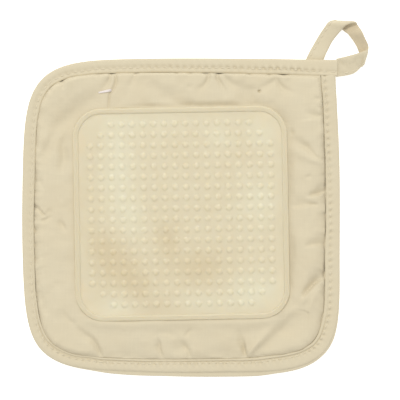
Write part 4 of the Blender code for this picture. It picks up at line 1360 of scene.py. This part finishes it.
class StageSettings(bpy.types.PropertyGroup):
    """Floor, light and camera."""

    floor_colour: bpy.props.FloatVectorProperty(
        name="Floor", description="Colour of the floor", subtype="COLOR", size=3, min=0, max=1,
        default=(0.95, 0.95, 0.95),
    )
    floor_glow: bpy.props.FloatProperty(
        name="Floor glow", description="Light of the floor itself, as of a lit table", default=0.5, min=0
    )
    ambient: bpy.props.FloatProperty(
        name="Ambient", description="Strength of the light from all round", default=0.79, min=0
    )
    key_power: bpy.props.FloatProperty(
        name="Key light", description="Strength of the lamp above the top edge", unit="POWER", default=114.0
    )
    frame_width: bpy.props.FloatProperty(
        name="Frame", description="Width that the camera takes in", unit="LENGTH", default=0.2512
    )


GROUPS = {
    "holder_cloth": ClothSettings,
    "holder_patch": PatchSettings,
    "holder_sewing": SewingSettings,
    "holder_stage": StageSettings,
}


# ---------------------------------------------------------------- pieces


def pad_surface():
    """The pad as rings of points, from the middle of the front out to its cut edge and in along the back.

    Front: beside + (1 - (1 - inside / run)^2) * (front height - beside), with small puckers at the binding
    and its nicks, where beside is the pad's height at the lip of the tape, reached within a millimetre. The
    back falls in a straight line from the cut edge to the surface that the pad lies on.
    """
    angle = round_square(PAD_COLUMNS)
    width, pad_height = by_direction(angle, "width"), by_direction(angle, "pad_height")
    wide = np.ones_like(width)
    hidden = [PAD_EDGE_INSET * wide, width - 2.0, width - 0.6]
    low_edge = np.minimum(pad_height, by_direction(angle, "seam"))
    shares = (np.arange(FINE_RINGS) / (FINE_RINGS - 1)) ** FINE_CROWDING
    fine = [width + share * (FINE_TO - width) for share in shares]
    inset = np.array([*hidden, *fine, *(distance * wide for distance in MIDDLE_RINGS)])
    place = outline(angle[None, :], inset)
    x, y = place[..., 0], place[..., 1]
    inside = np.maximum(inset - width, 0.0)
    beside = low_edge + (pad_height - low_edge) * (1 - np.exp(-inside / SEAM_RISE))
    rise = 1 - (1 - np.clip(inside / by_direction(angle, "puff_run"), 0.0, 1.0)) ** 2
    strength = PUCKERED + PUCKERED_SIDES * np.abs(np.cos(angle))
    pucker = drifting(angle[None, :] * HALF_SIZE, PUCKERS) * strength * np.exp(-inside / PUCKER_RUN)
    pits = sum(pit(x, y, nick) for nick in NICKS) * bell(inside, NICK_RUN)
    top = beside + rise * (front_height(x, y) - beside) + ease(inside / PUCKER_START) * pucker - pits
    top = np.maximum(top, PAD_EDGE_BOTTOM + LEAST_THICK)
    top[: len(hidden)] = np.minimum(top[: len(hidden)], UNDER_TAPE)
    front = np.stack([x, y, top], axis=-1)[::-1]

    under_tape = [PAD_EDGE_INSET * wide, width - 0.6, width]
    beside_tape = [width + distance for distance in BACK_RINGS]
    inset = np.array([*under_tape, *beside_tape, *(distance * wide for distance in BACK_MIDDLE_RINGS)])
    inside = np.maximum(inset - width, 0.0)
    low = PAD_EDGE_BOTTOM * np.clip(1 - inside / BACK_RUN, 0.0, 1.0)
    back = np.concatenate([outline(angle[None, :], inset), low[..., None]], axis=-1)
    return np.concatenate([front, back])


def closed_rings(rings):
    """Points, quads and triangles of a body of rings, closed at each end round a pole in its middle."""
    rows, columns, _ = rings.shape
    points = np.concatenate([rings.reshape(-1, 3), rings[[0, -1]].mean(axis=1)])
    column = np.arange(columns)
    following = (column + 1) % columns
    last = (rows - 1) * columns
    first_pole, last_pole = np.full((2, columns), rows * columns) + [[0], [1]]
    fans = np.concatenate(
        [
            np.stack([first_pole, following, column], axis=-1),
            np.stack([last_pole, last + column, last + following], axis=-1),
        ]
    )
    return points, quads_of(rows, columns, True), fans


class HOLDER_OT_pad(bpy.types.Operator):
    """Pad: both cotton panels and the wadding between them, with the folds of the front"""

    bl_idname = "holder.pad"
    bl_label = "Pad"

    def execute(self, context):
        settings = context.scene.holder_cloth
        points, quads, fans = closed_rings(pad_surface())
        made = add_mesh("quilted_pad", points, quads, fans)
        finish_piece(made, "pad", cotton("cotton cloth", settings, settings.colour, False))
        return {"FINISHED"}


def path_width(along, angle):
    """Width of the tape on the front, a little uneven along it."""
    return by_direction(angle, "width") + drifting(along, WIDTH_DRIFT)


def fold_insets(folds, width):
    """How far in the folds of a tape lie: each one's own length and its share of the tape's width."""
    return column_of(folds, "inwards") + np.outer(width, column_of(folds, "share"))


def binding_path():
    """Sections of the binding, clockwise from its start under the top run to its end at the square corner.

    Gives the outline's points, its inward normals, the section paths and the distance along the edge.
    """
    stops = np.array([(1, BINDING_START), (1, -1), (-1, -1), (-1, 1), (BINDING_LAST, 1)], float)
    length = np.abs(np.diff(stops, axis=0)).sum(axis=1)
    at = np.concatenate([[0.0], np.cumsum(length)])
    t = np.linspace(0.0, at[-1], TAPE_SECTIONS)
    place = np.stack([np.interp(t, at, stops[:, 0]), np.interp(t, at, stops[:, 1])], axis=-1)
    angle = np.unwrap(np.arctan2(place[:, 1], place[:, 0]))
    edge = outline(angle, 0.0)
    small_turn = 1e-4
    ahead = outline(angle - small_turn, 0.0) - outline(angle + small_turn, 0.0)
    inwards = unit(np.stack([ahead[:, 1], -ahead[:, 0]], axis=-1))
    straight_on = np.array([[BINDING_END_X, edge[-1, 1]]])
    edge, inwards = np.concatenate([edge, straight_on]), np.concatenate([inwards, inwards[-1:]])
    angle = np.append(angle, angle[-1])
    along = run_along(edge)

    inset = fold_insets(TAPE_FOLDS, path_width(along, angle))
    inset = inset - np.outer(by_direction(angle, "stitch"), column_of(TAPE_FOLDS, "stitch_share"))
    height = np.broadcast_to(column_of(TAPE_FOLDS, "height"), inset.shape)
    path = rounded_path(np.stack([inset, height], axis=-1), [row.steps for row in TAPE_FOLDS[:-1]])
    return edge, inwards, path, along, angle


def puckered(path, along, angle, pitch):
    """The section paths with the stitches drawn in and the tape uneven along its length.

    Front only, each a bell across the tape: a hole between two stitches, a puff beside each stitch, the thin
    line behind the lip, a swell along the middle and the drift of the lip. The front is drawn in from the
    outline, and the back shows beyond it as a ledge.
    """
    inset, height = path[..., 0].copy(), path[..., 1].copy()
    width = path_width(along, angle)
    off_stitch = inset - (width - by_direction(angle, "stitch"))[:, None]
    turn = 2 * np.pi * (along[:, None] + SLANT * off_stitch) / pitch
    between, beside = 0.5 - 0.5 * np.cos(turn), 0.5 + 0.5 * np.cos(turn)
    front = ease((height - 3.0) / 1.2)
    sewn = by_direction(angle, "sewn")[:, None] * (1 + drifting(along, SEWN_DRIFT))[:, None]
    hole = (HOLE * between**2 + HOLE_LEAST) * sewn * bell(off_stitch, HOLE_REACH)
    puff = PUFF * beside * sewn * bell(off_stitch - PUFF_AT, PUFF_REACH)
    lip_line = by_direction(angle, "lip_line")[:, None]
    lip_line = lip_line * bell(off_stitch - LIP_LINE, LIP_LINE_REACH + LIP_LINE_SPREAD * lip_line)
    swell = drifting(along, SWELL_DRIFT)[:, None] * bell(inset - SWELL_AT * width[:, None], SWELL_REACH)
    lip = drifting(along, LIP_DRIFT)[:, None] * bell(off_stitch - LIP_AT, LIP_REACH)
    height = height + front * (puff - hole - lip_line + swell + lip)
    drawn_in, peek = (by_direction(angle, column)[:, None] for column in ("drawn_in", "peek"))
    outer = ease((DRAWN_FROM - inset) / DRAWN_RUN)
    inset = inset + outer * (drawn_in - peek * ease((LEDGE_HEIGHT - height) / LEDGE_STEP))
    return np.stack([inset, height], axis=-1)


def stitch_column(folds, place):
    """The number of a table's row among the points of its smooth path."""
    names = [row.place for row in folds]
    return sum(row.steps for row in folds[: names.index(place)])


def stitches(line, normal, sewing):
    """Stitches along a line of points (x, y, z), as closed bodies that dip into the cloth at their ends.

    Each is a tube: its radius falls off as (1 - a^8)^(1/2) and its middle line dips as a^4 over a = -1 to 1.
    """
    pitch, length, thickness = sewing.pitch / MM, sewing.length / MM, sewing.thickness / MM
    along = run_along(line)
    middle = np.arange(pitch, along[-1] - pitch / 2, pitch)
    a = np.array(STITCH_STATIONS)
    place = middle[:, None] + a * length / 2
    centre = np.stack([np.interp(place, along, line[:, k]) for k in range(3)], axis=-1)
    up = unit(np.stack([np.interp(place, along, normal[:, k]) for k in range(3)], axis=-1))
    side = np.cross(unit(np.gradient(centre, axis=1)), up)
    slant = STITCH_SLANT * np.sin(np.arange(len(middle)) * STITCH_SWING)[:, None, None]
    centre = centre + side * (slant * (a * length / 2)[None, :, None])
    centre = centre + up * (STITCH_STANDS - STITCH_DIP * a**4)[None, :, None] * thickness
    radius = thickness / 2 * np.sqrt(1 - a**8)
    turn = np.arange(8) / 8 * 2 * np.pi
    ring = np.cos(turn)[:, None] * side[:, :, None] * STITCH_FLATNESS + np.sin(turn)[:, None] * up[:, :, None]
    points = centre[:, :, None] + ring * radius[None, :, None, None]
    count, rows, columns = points.shape[:3]
    quads = quads_of(rows, columns, True)
    ends = np.array([[0, 1, 2, 3], [0, 3, 4, 7], [4, 5, 6, 7]])
    quads = np.concatenate([quads, ends, ends[:, ::-1] + (rows - 1) * columns])
    every = (quads[None] + (np.arange(count) * rows * columns)[:, None, None]).reshape(-1, 4)
    u = np.broadcast_to(place[:, :, None], points.shape[:3])
    v = np.broadcast_to((turn * thickness / 2)[None, None, :], points.shape[:3])
    return points.reshape(-1, 3), every, np.stack([u, v], axis=-1).reshape(-1, 2) * MM


def joined(parts):
    """Several (points, quads, uv) as one, with their corner numbers moved on."""
    points, quads, uv, count = [], [], [], 0
    for part in parts:
        points.append(part[0])
        quads.append(part[1] + count)
        uv.append(part[2])
        count += len(part[0])
    return np.concatenate(points), np.concatenate(quads), np.concatenate(uv)


def binding_surface(pitch):
    """Origins, directions and section paths of the binding, its stitches drawn in and its start tucked."""
    edge, inwards, path, along, angle = binding_path()
    path = puckered(path, along, angle, pitch)
    pressed = TUCKED_TO + (1 - TUCKED_TO) * ease((along - TUCKED / 3) / TUCKED)
    path[..., 1] = TAPE_MIDDLE + (path[..., 1] - TAPE_MIDDLE) * pressed[:, None]
    origin = np.column_stack([edge, np.zeros(len(edge))])
    across = np.column_stack([inwards, np.zeros(len(edge))])
    rise = np.broadcast_to([0.0, 0.0, 1.0], origin.shape)
    return origin, across, rise, path


def surface_line(origin, across, rise, path, column):
    """The line along the tape's outer face at one point of its section, and the normals there."""
    tangent = unit(np.gradient(path, axis=1)[:, column])
    normal = np.stack([tangent[:, 1], -tangent[:, 0]], axis=-1)
    at = path[:, column] + normal * CLOTH / 2
    line = origin + at[:, :1] * across + at[:, 1:] * rise
    return line, normal[:, :1] * across + normal[:, 1:] * rise


class HOLDER_OT_binding(bpy.types.Operator):
    """Binding: one tape with both edges turned in, folded over the edge of the pad"""

    bl_idname = "holder.binding"
    bl_label = "Binding"

    def execute(self, context):
        settings, sewing = context.scene.holder_cloth, context.scene.holder_sewing
        surface = binding_surface(sewing.pitch / MM)
        made = add_tape("binding_tape", *surface, CLOTH)
        material = cotton("cotton tape", settings, settings.tape_colour, True)
        finish_piece(made, "binding", material)
        return {"FINISHED"}


def loop_surface():
    """Origins, directions and section paths of the loop, smooth through its table.

    At each section across runs from the folded edge to the stitched one and rise is across x ahead; the
    layers lie at half the thickness less their depth, on either side.
    """
    sections = through(np.array([row[1:] for row in LOOP_SECTIONS]), LOOP_STEPS)
    outer, inner, thickness = sections[:, 0:3], sections[:, 3:6], sections[:, 6]
    ahead = np.gradient((outer + inner) / 2, axis=0)
    across = outer - inner
    width = np.linalg.norm(across, axis=1)
    across = across / width[:, None]
    rise = unit(np.cross(ahead, across))
    inset = fold_insets(LOOP_FOLDS, width)
    height = column_of(LOOP_FOLDS, "face") * (thickness[:, None] / 2 - column_of(LOOP_FOLDS, "depth"))
    path = rounded_path(np.stack([inset, height], axis=-1), [row.steps for row in LOOP_FOLDS[:-1]])
    last_fold = [row.place for row in LOOP_SECTIONS].index("after the fold") * LOOP_STEPS
    place = inner[:, None] + path[..., :1] * across[:, None]
    creases = fold_depth(place[..., 0], place[..., 1], LOOP_CREASES)
    creases[:last_fold] = 0.0
    path[..., 1] -= creases * ease(path[..., 1] / 0.3)
    return inner, across, rise, path


class HOLDER_OT_loop(bpy.types.Operator):
    """Hanging loop: the same tape run on, folded shut and sewn, and folded over twice"""

    bl_idname = "holder.loop"
    bl_label = "Hanging loop"

    def execute(self, context):
        settings = context.scene.holder_cloth
        origin, across, rise, path = loop_surface()
        made = add_tape("loop_tape", origin, across, rise, path, LOOP_CLOTH)
        places = [row.place for row in LOOP_SECTIONS]
        section = np.arange(len(origin)) / LOOP_STEPS
        first, last = places.index("fold"), places.index("after the fold")
        # painted shade: from just after the first fold to before the second, where the tip lies in the shade
        # of the fold above
        painted_tip_shade = ease((section - first) / 1.5) * ease((last - 1 - section) / 1.0)
        add_layer(made, "painted_tip_shade", np.repeat(painted_tip_shade, 2 * path.shape[1]))
        material = cotton("cotton tape", settings, settings.tape_colour, True)
        finish_piece(made, "hanging_loop", material)
        return {"FINISHED"}


class HOLDER_OT_topstitching(bpy.types.Operator):
    """Topstitching: a row of stitches round both faces of the binding and along the loop"""

    bl_idname = "holder.topstitching"
    bl_label = "Topstitching"

    def execute(self, context):
        sewing = context.scene.holder_sewing
        binding, loop = binding_surface(sewing.pitch / MM), loop_surface()
        rows = (
            (binding, TAPE_FOLDS, FRONT_STITCH),
            (binding, TAPE_FOLDS, BACK_STITCH),
            (loop, LOOP_FOLDS, FRONT_STITCH),
        )
        parts = []
        for surface, folds, place in rows:
            line, normal = surface_line(*surface, stitch_column(folds, place))
            parts.append(stitches(line, normal, sewing))
        points, quads, uv = joined(parts)
        made = add_mesh("topstitching", points, quads, uv=uv)
        finish_piece(made, None, thread("sewing thread", sewing.thread_colour, 0.8))
        return {"FINISHED"}


def tack_strand(strand):
    """One strand of the tack stitch, as points, quads and places along its thread.

    A tube over a = -1 to 1 from end to end, on the front of the pad: its middle line dips as a^6 and its
    radius falls off as (1 - 0.7 a^8)^(1/2). The strands lie closer together, and are thinner, at their start.
    """
    a = np.linspace(-1.0, 1.0, TACK_STATIONS)
    start, end = np.array(TACK_FROM), np.array(TACK_TO)
    ahead = unit(end - start)
    side = np.array([-ahead[1], ahead[0]])
    gathered = 0.55 + 0.45 * ease((a + 1) / 1.2)
    spread = (strand - (TACK_STRANDS - 1) / 2) * TACK_SPACING * gathered
    plane = (start + end) / 2 + np.outer(a / 2, end - start) + np.outer(spread, side)
    ground = front_height(plane[:, 0], plane[:, 1])
    centre = np.column_stack([plane, ground + TACK_STANDS - TACK_DIP * a**6 + TACK_STAGGER * strand])
    radius = TACK_RADIUS * (0.75 + 0.25 * ease((a + 1) / 1.5)) * np.sqrt(1 - 0.7 * a**8)
    turn = np.arange(TACK_SIDES) / TACK_SIDES * 2 * np.pi
    ring = np.outer(np.cos(turn), [*side, 0.0]) + np.outer(np.sin(turn), [0.0, 0.0, 1.0])
    points = centre[:, None] + ring[None] * radius[:, None, None]
    rows, columns, _ = points.shape
    ends = np.array([[0, 1, 2, 3], [0, 3, 4, 9], [4, 5, 8, 9], [5, 6, 7, 8]])
    ends = np.concatenate([ends, ends[:, ::-1] + (rows - 1) * columns])
    quads = np.concatenate([quads_of(rows, columns, True), ends])
    u = np.broadcast_to((a * TACK_HALF_THREAD)[:, None], (rows, columns))
    v = np.broadcast_to(turn * TACK_ROUND, (rows, columns))
    return points.reshape(-1, 3), quads, np.stack([u, v], axis=-1).reshape(-1, 2) * MM


class HOLDER_OT_tack(bpy.types.Operator):
    """Tack stitch: a few strands of white thread side by side, drawn into the front"""

    bl_idname = "holder.tack"
    bl_label = "Tack stitch"

    def execute(self, context):
        sewing = context.scene.holder_sewing
        points, quads, uv = joined([tack_strand(strand) for strand in range(TACK_STRANDS)])
        made = add_mesh("tack_stitch", points, quads, uv=uv)
        finish_piece(made, None, thread("white thread", sewing.tack_colour, 0.7))
        return {"FINISHED"}


def grid_lines(settings, half):
    """Lines of the patch's mesh from side to side: evenly through the dots' cells, then by the rim's list."""
    cells = np.arange(RINGS_TO_CELL_EDGE * DOT_ROWS + 1) / (2 * RINGS_TO_CELL_EDGE) * settings.dot_pitch / MM
    outside = half - np.array(RIM_LINES[::-1])
    positive = np.concatenate([cells, outside[outside > cells[-1] + 0.4]])
    return np.concatenate([-positive[:0:-1], positive])


def onto_circle(off, radius):
    """Places about a middle, moved to this radius: the angle runs evenly along each side of a square ring."""
    wide = np.abs(off[..., 0]) >= np.abs(off[..., 1])
    main = np.where(wide, off[..., 0], off[..., 1])
    other = np.where(wide, off[..., 1], off[..., 0])
    turn = np.pi / 4 * other / np.where(main == 0, 1.0, main)
    sign = np.sign(main)
    along, aside = radius * np.cos(turn) * sign, radius * np.sin(turn) * sign
    return np.stack([np.where(wide, along, aside), np.where(wide, aside, along)], axis=-1)


def rounded_cells(a, settings):
    """Moves grid places in each dot's cell so that the square rings about its middle become circles.

    a holds (x, y) in millimetres. The ring at the largest of |x| and |y| gets its radius from the rings to
    the dot's edge; the cell's edge stays.
    """
    pitch, radius = settings.dot_pitch / MM, settings.dot_radius / MM
    half = pitch / 2
    middle = (np.floor(a / pitch - (DOT_ROWS % 2) / 2) + 0.5 + (DOT_ROWS % 2) / 2) * pitch
    off = a - middle
    level = np.abs(off).max(axis=-1) / half * RINGS_TO_CELL_EDGE
    knots = np.arange(RINGS_TO_CELL_EDGE + 1)
    within = np.minimum(knots / RINGS_TO_DOT_EDGE, 1.0)
    radii = radius * np.where(knots <= RINGS_TO_DOT_EDGE, within**DOT_CROWDING, DOT_FOOT)
    moved = middle + onto_circle(off, np.interp(level, knots, radii))
    inside = (level < RINGS_TO_CELL_EDGE - 0.5)[..., None]
    return np.where(inside, moved, a)


def rounded_corners(a, half_x, half_y):
    """Moves grid places in the corners of the patch so that its square border becomes round.

    In each corner square the ring at the largest of the two distances from the corner's centre turns into an
    arc, wholly so near the border and not at all near the centre.
    """
    centre = np.array([half_x - PATCH_CORNER, half_y - PATCH_CORNER])
    off = (np.abs(a) - centre) / PATCH_CORNER
    corner = (off > 0).all(axis=-1)
    ring = off.max(axis=-1)
    arc = onto_circle(off, ring)
    share = ease((ring - CORNER_START) / CORNER_RUN)[..., None]
    moved = (off + (arc - off) * share) * PATCH_CORNER + centre
    return np.where(corner[..., None], moved * np.sign(a), a)


def inside_border(a, half_x, half_y):
    """Distance of places in from the border of the patch, a rectangle with round corners."""
    off = np.abs(a) - np.array([half_x - PATCH_CORNER, half_y - PATCH_CORNER])
    beyond = np.linalg.norm(np.maximum(off, 0.0), axis=-1)
    return PATCH_CORNER - beyond - np.minimum(off.max(axis=-1), 0.0)


def moulded_height(a, distance, settings):
    """Height of the moulded face over its seat: the sheet, its rim and its dots.

    The rim stands out inside the rounded border, and its inner flank is eased. A dot is a dome, 1 - (r / R)^3
    times its rise, with a soft foot, and there is none in the cut corners.
    """
    pitch, radius, rise = settings.dot_pitch / MM, settings.dot_radius / MM, settings.dot_rise / MM
    outer_flank = np.sqrt(np.clip(1 - (1 - np.clip(distance / EDGE_ROUND, 0, 1)) ** 2, 0, 1))
    border = np.where(distance < EDGE_ROUND, EDGE_LOW + (1 - EDGE_LOW) * outer_flank, 1.0)
    rim = RIM_RISE * ease((RIM_WIDTH + 0.2 - distance) / 0.8)
    cell = np.floor(a / pitch) + DOT_ROWS / 2
    from_end = np.minimum(cell, DOT_ROWS - 1 - cell)
    across, up = from_end[..., 0], from_end[..., 1]
    cut = np.zeros_like(up)
    for row, count in enumerate(DOTS_CUT_AT_CORNERS):
        cut = np.where(up == row, count, cut)
    dotted = (across >= cut) & (up >= 0) & (across >= 0)
    off = a - (np.floor(a / pitch) + 0.5) * pitch
    ratio = np.hypot(off[..., 0], off[..., 1]) / radius
    dome = np.where(dotted, rise * np.clip(1 - ratio**3, 0.0, 1.0), 0.0)
    fillet = np.where(dotted, FILLET * np.clip(1 - np.abs(ratio - 1) / (DOT_FOOT - 1), 0, 1), 0.0)
    return (PATCH_SHEET + rim) * border + dome + fillet


def patch_face(settings):
    """The moulded face as a grid of points, and how far in from the border each of them lies.

    A flat grid, whose rings round each dot become circles and whose corners become round, turned with the
    patch and laid on its seat.
    """
    half_x, half_y = PATCH_WIDTH / 2, PATCH_HEIGHT / 2
    flat = np.stack(np.meshgrid(grid_lines(settings, half_x), grid_lines(settings, half_y)), axis=-1)
    reach = DOT_ROWS / 2 * settings.dot_pitch / MM
    among_dots = (np.abs(flat) <= reach + 1e-6).all(axis=-1)[..., None]
    flat = np.where(among_dots, rounded_cells(flat, settings), flat)
    flat = rounded_corners(flat, half_x, half_y)
    distance = inside_border(flat, half_x, half_y)
    cosine, sine = math.cos(math.radians(PATCH_TURN)), math.sin(math.radians(PATCH_TURN))
    place = flat @ np.array([[cosine, sine], [-sine, cosine]]) + PATCH_MIDDLE
    height = seat_height(place[..., 0], place[..., 1]) + moulded_height(flat, distance, settings)
    return np.concatenate([place, height[..., None]], axis=-1), distance


def patch_body(face):
    """Points, quads and triangles of the whole patch: its face, and rings in under it to a pole."""
    rows, columns, _ = face.shape
    numbers = np.arange(rows * columns).reshape(rows, columns)
    border = np.concatenate([numbers[0, :-1], numbers[:-1, -1], numbers[-1, :0:-1], numbers[:0:-1, 0]])
    upper = face.reshape(-1, 3)
    under = []
    for share in UNDER_RINGS:
        spot = PATCH_MIDDLE + (upper[border, :2] - PATCH_MIDDLE) * share
        under.append(np.column_stack([spot, seat_height(spot[:, 0], spot[:, 1]) + UNDER_GAP]))
    middle = np.array([[*PATCH_MIDDLE, PATCH_SEAT + CROWN + UNDER_GAP]])
    points = np.concatenate([upper, *under, middle])
    below = len(upper) + np.arange(len(under) * len(border)).reshape(len(under), -1)
    rings = [border, *below]
    sides = [
        np.stack([here, np.roll(here, -1), np.roll(there, -1), there], axis=-1)[:, ::-1]
        for here, there in zip(rings, rings[1:])
    ]
    pole = np.full(len(border), len(points) - 1)
    triangles = np.stack([rings[-1], np.roll(rings[-1], -1), pole], axis=-1)[:, ::-1]
    return points, np.concatenate([quads_of(rows, columns, False), *sides]), triangles


def paler_at(points):
    """How much paler the silicone is at points: each oval adds its share of exp(-(u / a)^2 - (v / b)^2)."""
    paler = np.zeros(len(points))
    for tone in PATCH_TONES:
        angle = math.radians(tone.turn)
        dx, dy = points[:, 0] - tone.x, points[:, 1] - tone.y
        u, v = dx * math.cos(angle) + dy * math.sin(angle), dy * math.cos(angle) - dx * math.sin(angle)
        paler += tone.paler * np.exp(-((u / tone.reach_x) ** 2) - (v / tone.reach_y) ** 2)
    return paler


class HOLDER_OT_patch(bpy.types.Operator):
    """Grip patch: a moulded silicone sheet with a raised rim and rows of low round dots"""

    bl_idname = "holder.patch"
    bl_label = "Grip patch"

    def execute(self, context):
        settings = context.scene.holder_patch
        face, distance = patch_face(settings)
        points, quads, triangles = patch_body(face)
        made = add_mesh("moulded_patch", points, quads, triangles)
        on_rim = np.zeros(len(points))
        on_rim[: distance.size] = ease(RIM_WIDTH + 0.5 - distance.ravel())
        add_layer(made, "paler", paler_at(points))
        add_layer(made, "rim", on_rim)
        finish_piece(made, "grip_patch", silicone(settings))
        return {"FINISHED"}


# ---------------------------------------------------------------- stage


class HOLDER_OT_stage(bpy.types.Operator):
    """Stage: a plain white floor, soft light from all round with a lamp above the top edge, and the camera"""

    bl_idname = "holder.stage"
    bl_label = "Stage"

    def execute(self, context):
        settings, scene = context.scene.holder_stage, context.scene
        corners = [(-1, -1), (1, -1), (1, 1), (-1, 1)]
        mesh = bpy.data.meshes.new("floor")
        mesh.from_pydata([(x * FLOOR_HALF, y * FLOOR_HALF, 0.0) for x, y in corners], [], [(0, 1, 2, 3)])
        material, n, shader = new_material("floor")
        place = n.add("ShaderNodeTexCoord").outputs["Object"]
        grain = n.noise(place, 6.0, 2.0)
        colour = n.mix(grain, tinted(settings.floor_colour, 0.995), tinted(settings.floor_colour, 1.0))
        n.feed(shader.inputs["Base Color"], colour)
        shader.inputs["Roughness"].default_value = 0.9
        shader.inputs["Specular IOR Level"].default_value = 0.1
        shader.inputs["Emission Color"].default_value = (1.0, 1.0, 1.0, 1.0)
        shader.inputs["Emission Strength"].default_value = settings.floor_glow
        mesh.materials.append(material)
        floor = bpy.data.objects.new("floor", mesh)
        scene.collection.objects.link(floor)

        world = bpy.data.worlds.new("soft light")
        world.use_nodes = True
        background = world.node_tree.nodes["Background"]
        background.inputs["Color"].default_value = (1.0, 1.0, 1.0, 1.0)
        background.inputs["Strength"].default_value = settings.ambient
        scene.world = world

        lamp = bpy.data.lights.new("key", "AREA")
        lamp.energy = settings.key_power
        lamp.shape = "RECTANGLE"
        lamp.size, lamp.size_y = LAMP_SIZE
        key = bpy.data.objects.new("key", lamp)
        key.location = LAMP_PLACE
        key.rotation_mode = "QUATERNION"
        key.rotation_quaternion = (-key.location).to_track_quat("-Z", "Y")
        scene.collection.objects.link(key)

        camera = bpy.data.objects.new("camera", bpy.data.cameras.new("camera"))
        camera.data.sensor_width = SENSOR
        camera.data.lens = SENSOR * CAMERA_DISTANCE / settings.frame_width
        camera.data.dof.use_dof = False
        camera.location = (*CAMERA_OVER, CAMERA_DISTANCE + FACE_HEIGHT)
        camera.data.clip_start, camera.data.clip_end = 0.05, 20.0
        scene.collection.objects.link(camera)
        scene.camera = camera

        scene.view_settings.view_transform = "Standard"
        scene.view_settings.look = "None"
        scene.view_settings.exposure = 0.0
        scene.view_settings.gamma = 1.0
        return {"FINISHED"}


OPERATORS = (
    HOLDER_OT_pad,
    HOLDER_OT_binding,
    HOLDER_OT_loop,
    HOLDER_OT_topstitching,
    HOLDER_OT_tack,
    HOLDER_OT_patch,
    HOLDER_OT_stage,
)


class HOLDER_PT_panel(bpy.types.Panel):
    """Lists the pieces and their settings"""

    bl_idname = "HOLDER_PT_panel"
    bl_label = "Pot holder"
    bl_space_type = "VIEW_3D"
    bl_region_type = "UI"
    bl_category = "Pot holder"

    def draw(self, context):
        for name, group in GROUPS.items():
            box = self.layout.box()
            for key in group.__annotations__:
                box.prop(getattr(context.scene, name), key)
        for operator in OPERATORS:
            self.layout.operator(operator.bl_idname)


def register():
    for made in (*GROUPS.values(), *OPERATORS, HOLDER_PT_panel):
        bpy.utils.register_class(made)
    for name, group in GROUPS.items():
        setattr(bpy.types.Scene, name, bpy.props.PointerProperty(type=group))


def unregister():
    for name in GROUPS:
        delattr(bpy.types.Scene, name)
    for made in (HOLDER_PT_panel, *OPERATORS, *GROUPS.values()):
        bpy.utils.unregister_class(made)


def main():
    """Sews every piece in order."""
    register()
    bpy.ops.holder.pad()
    bpy.ops.holder.binding()
    bpy.ops.holder.loop()
    bpy.ops.holder.topstitching()
    bpy.ops.holder.tack()
    bpy.ops.holder.patch()
    bpy.ops.holder.stage()
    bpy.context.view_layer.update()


if __name__ == "__main__":
    main()
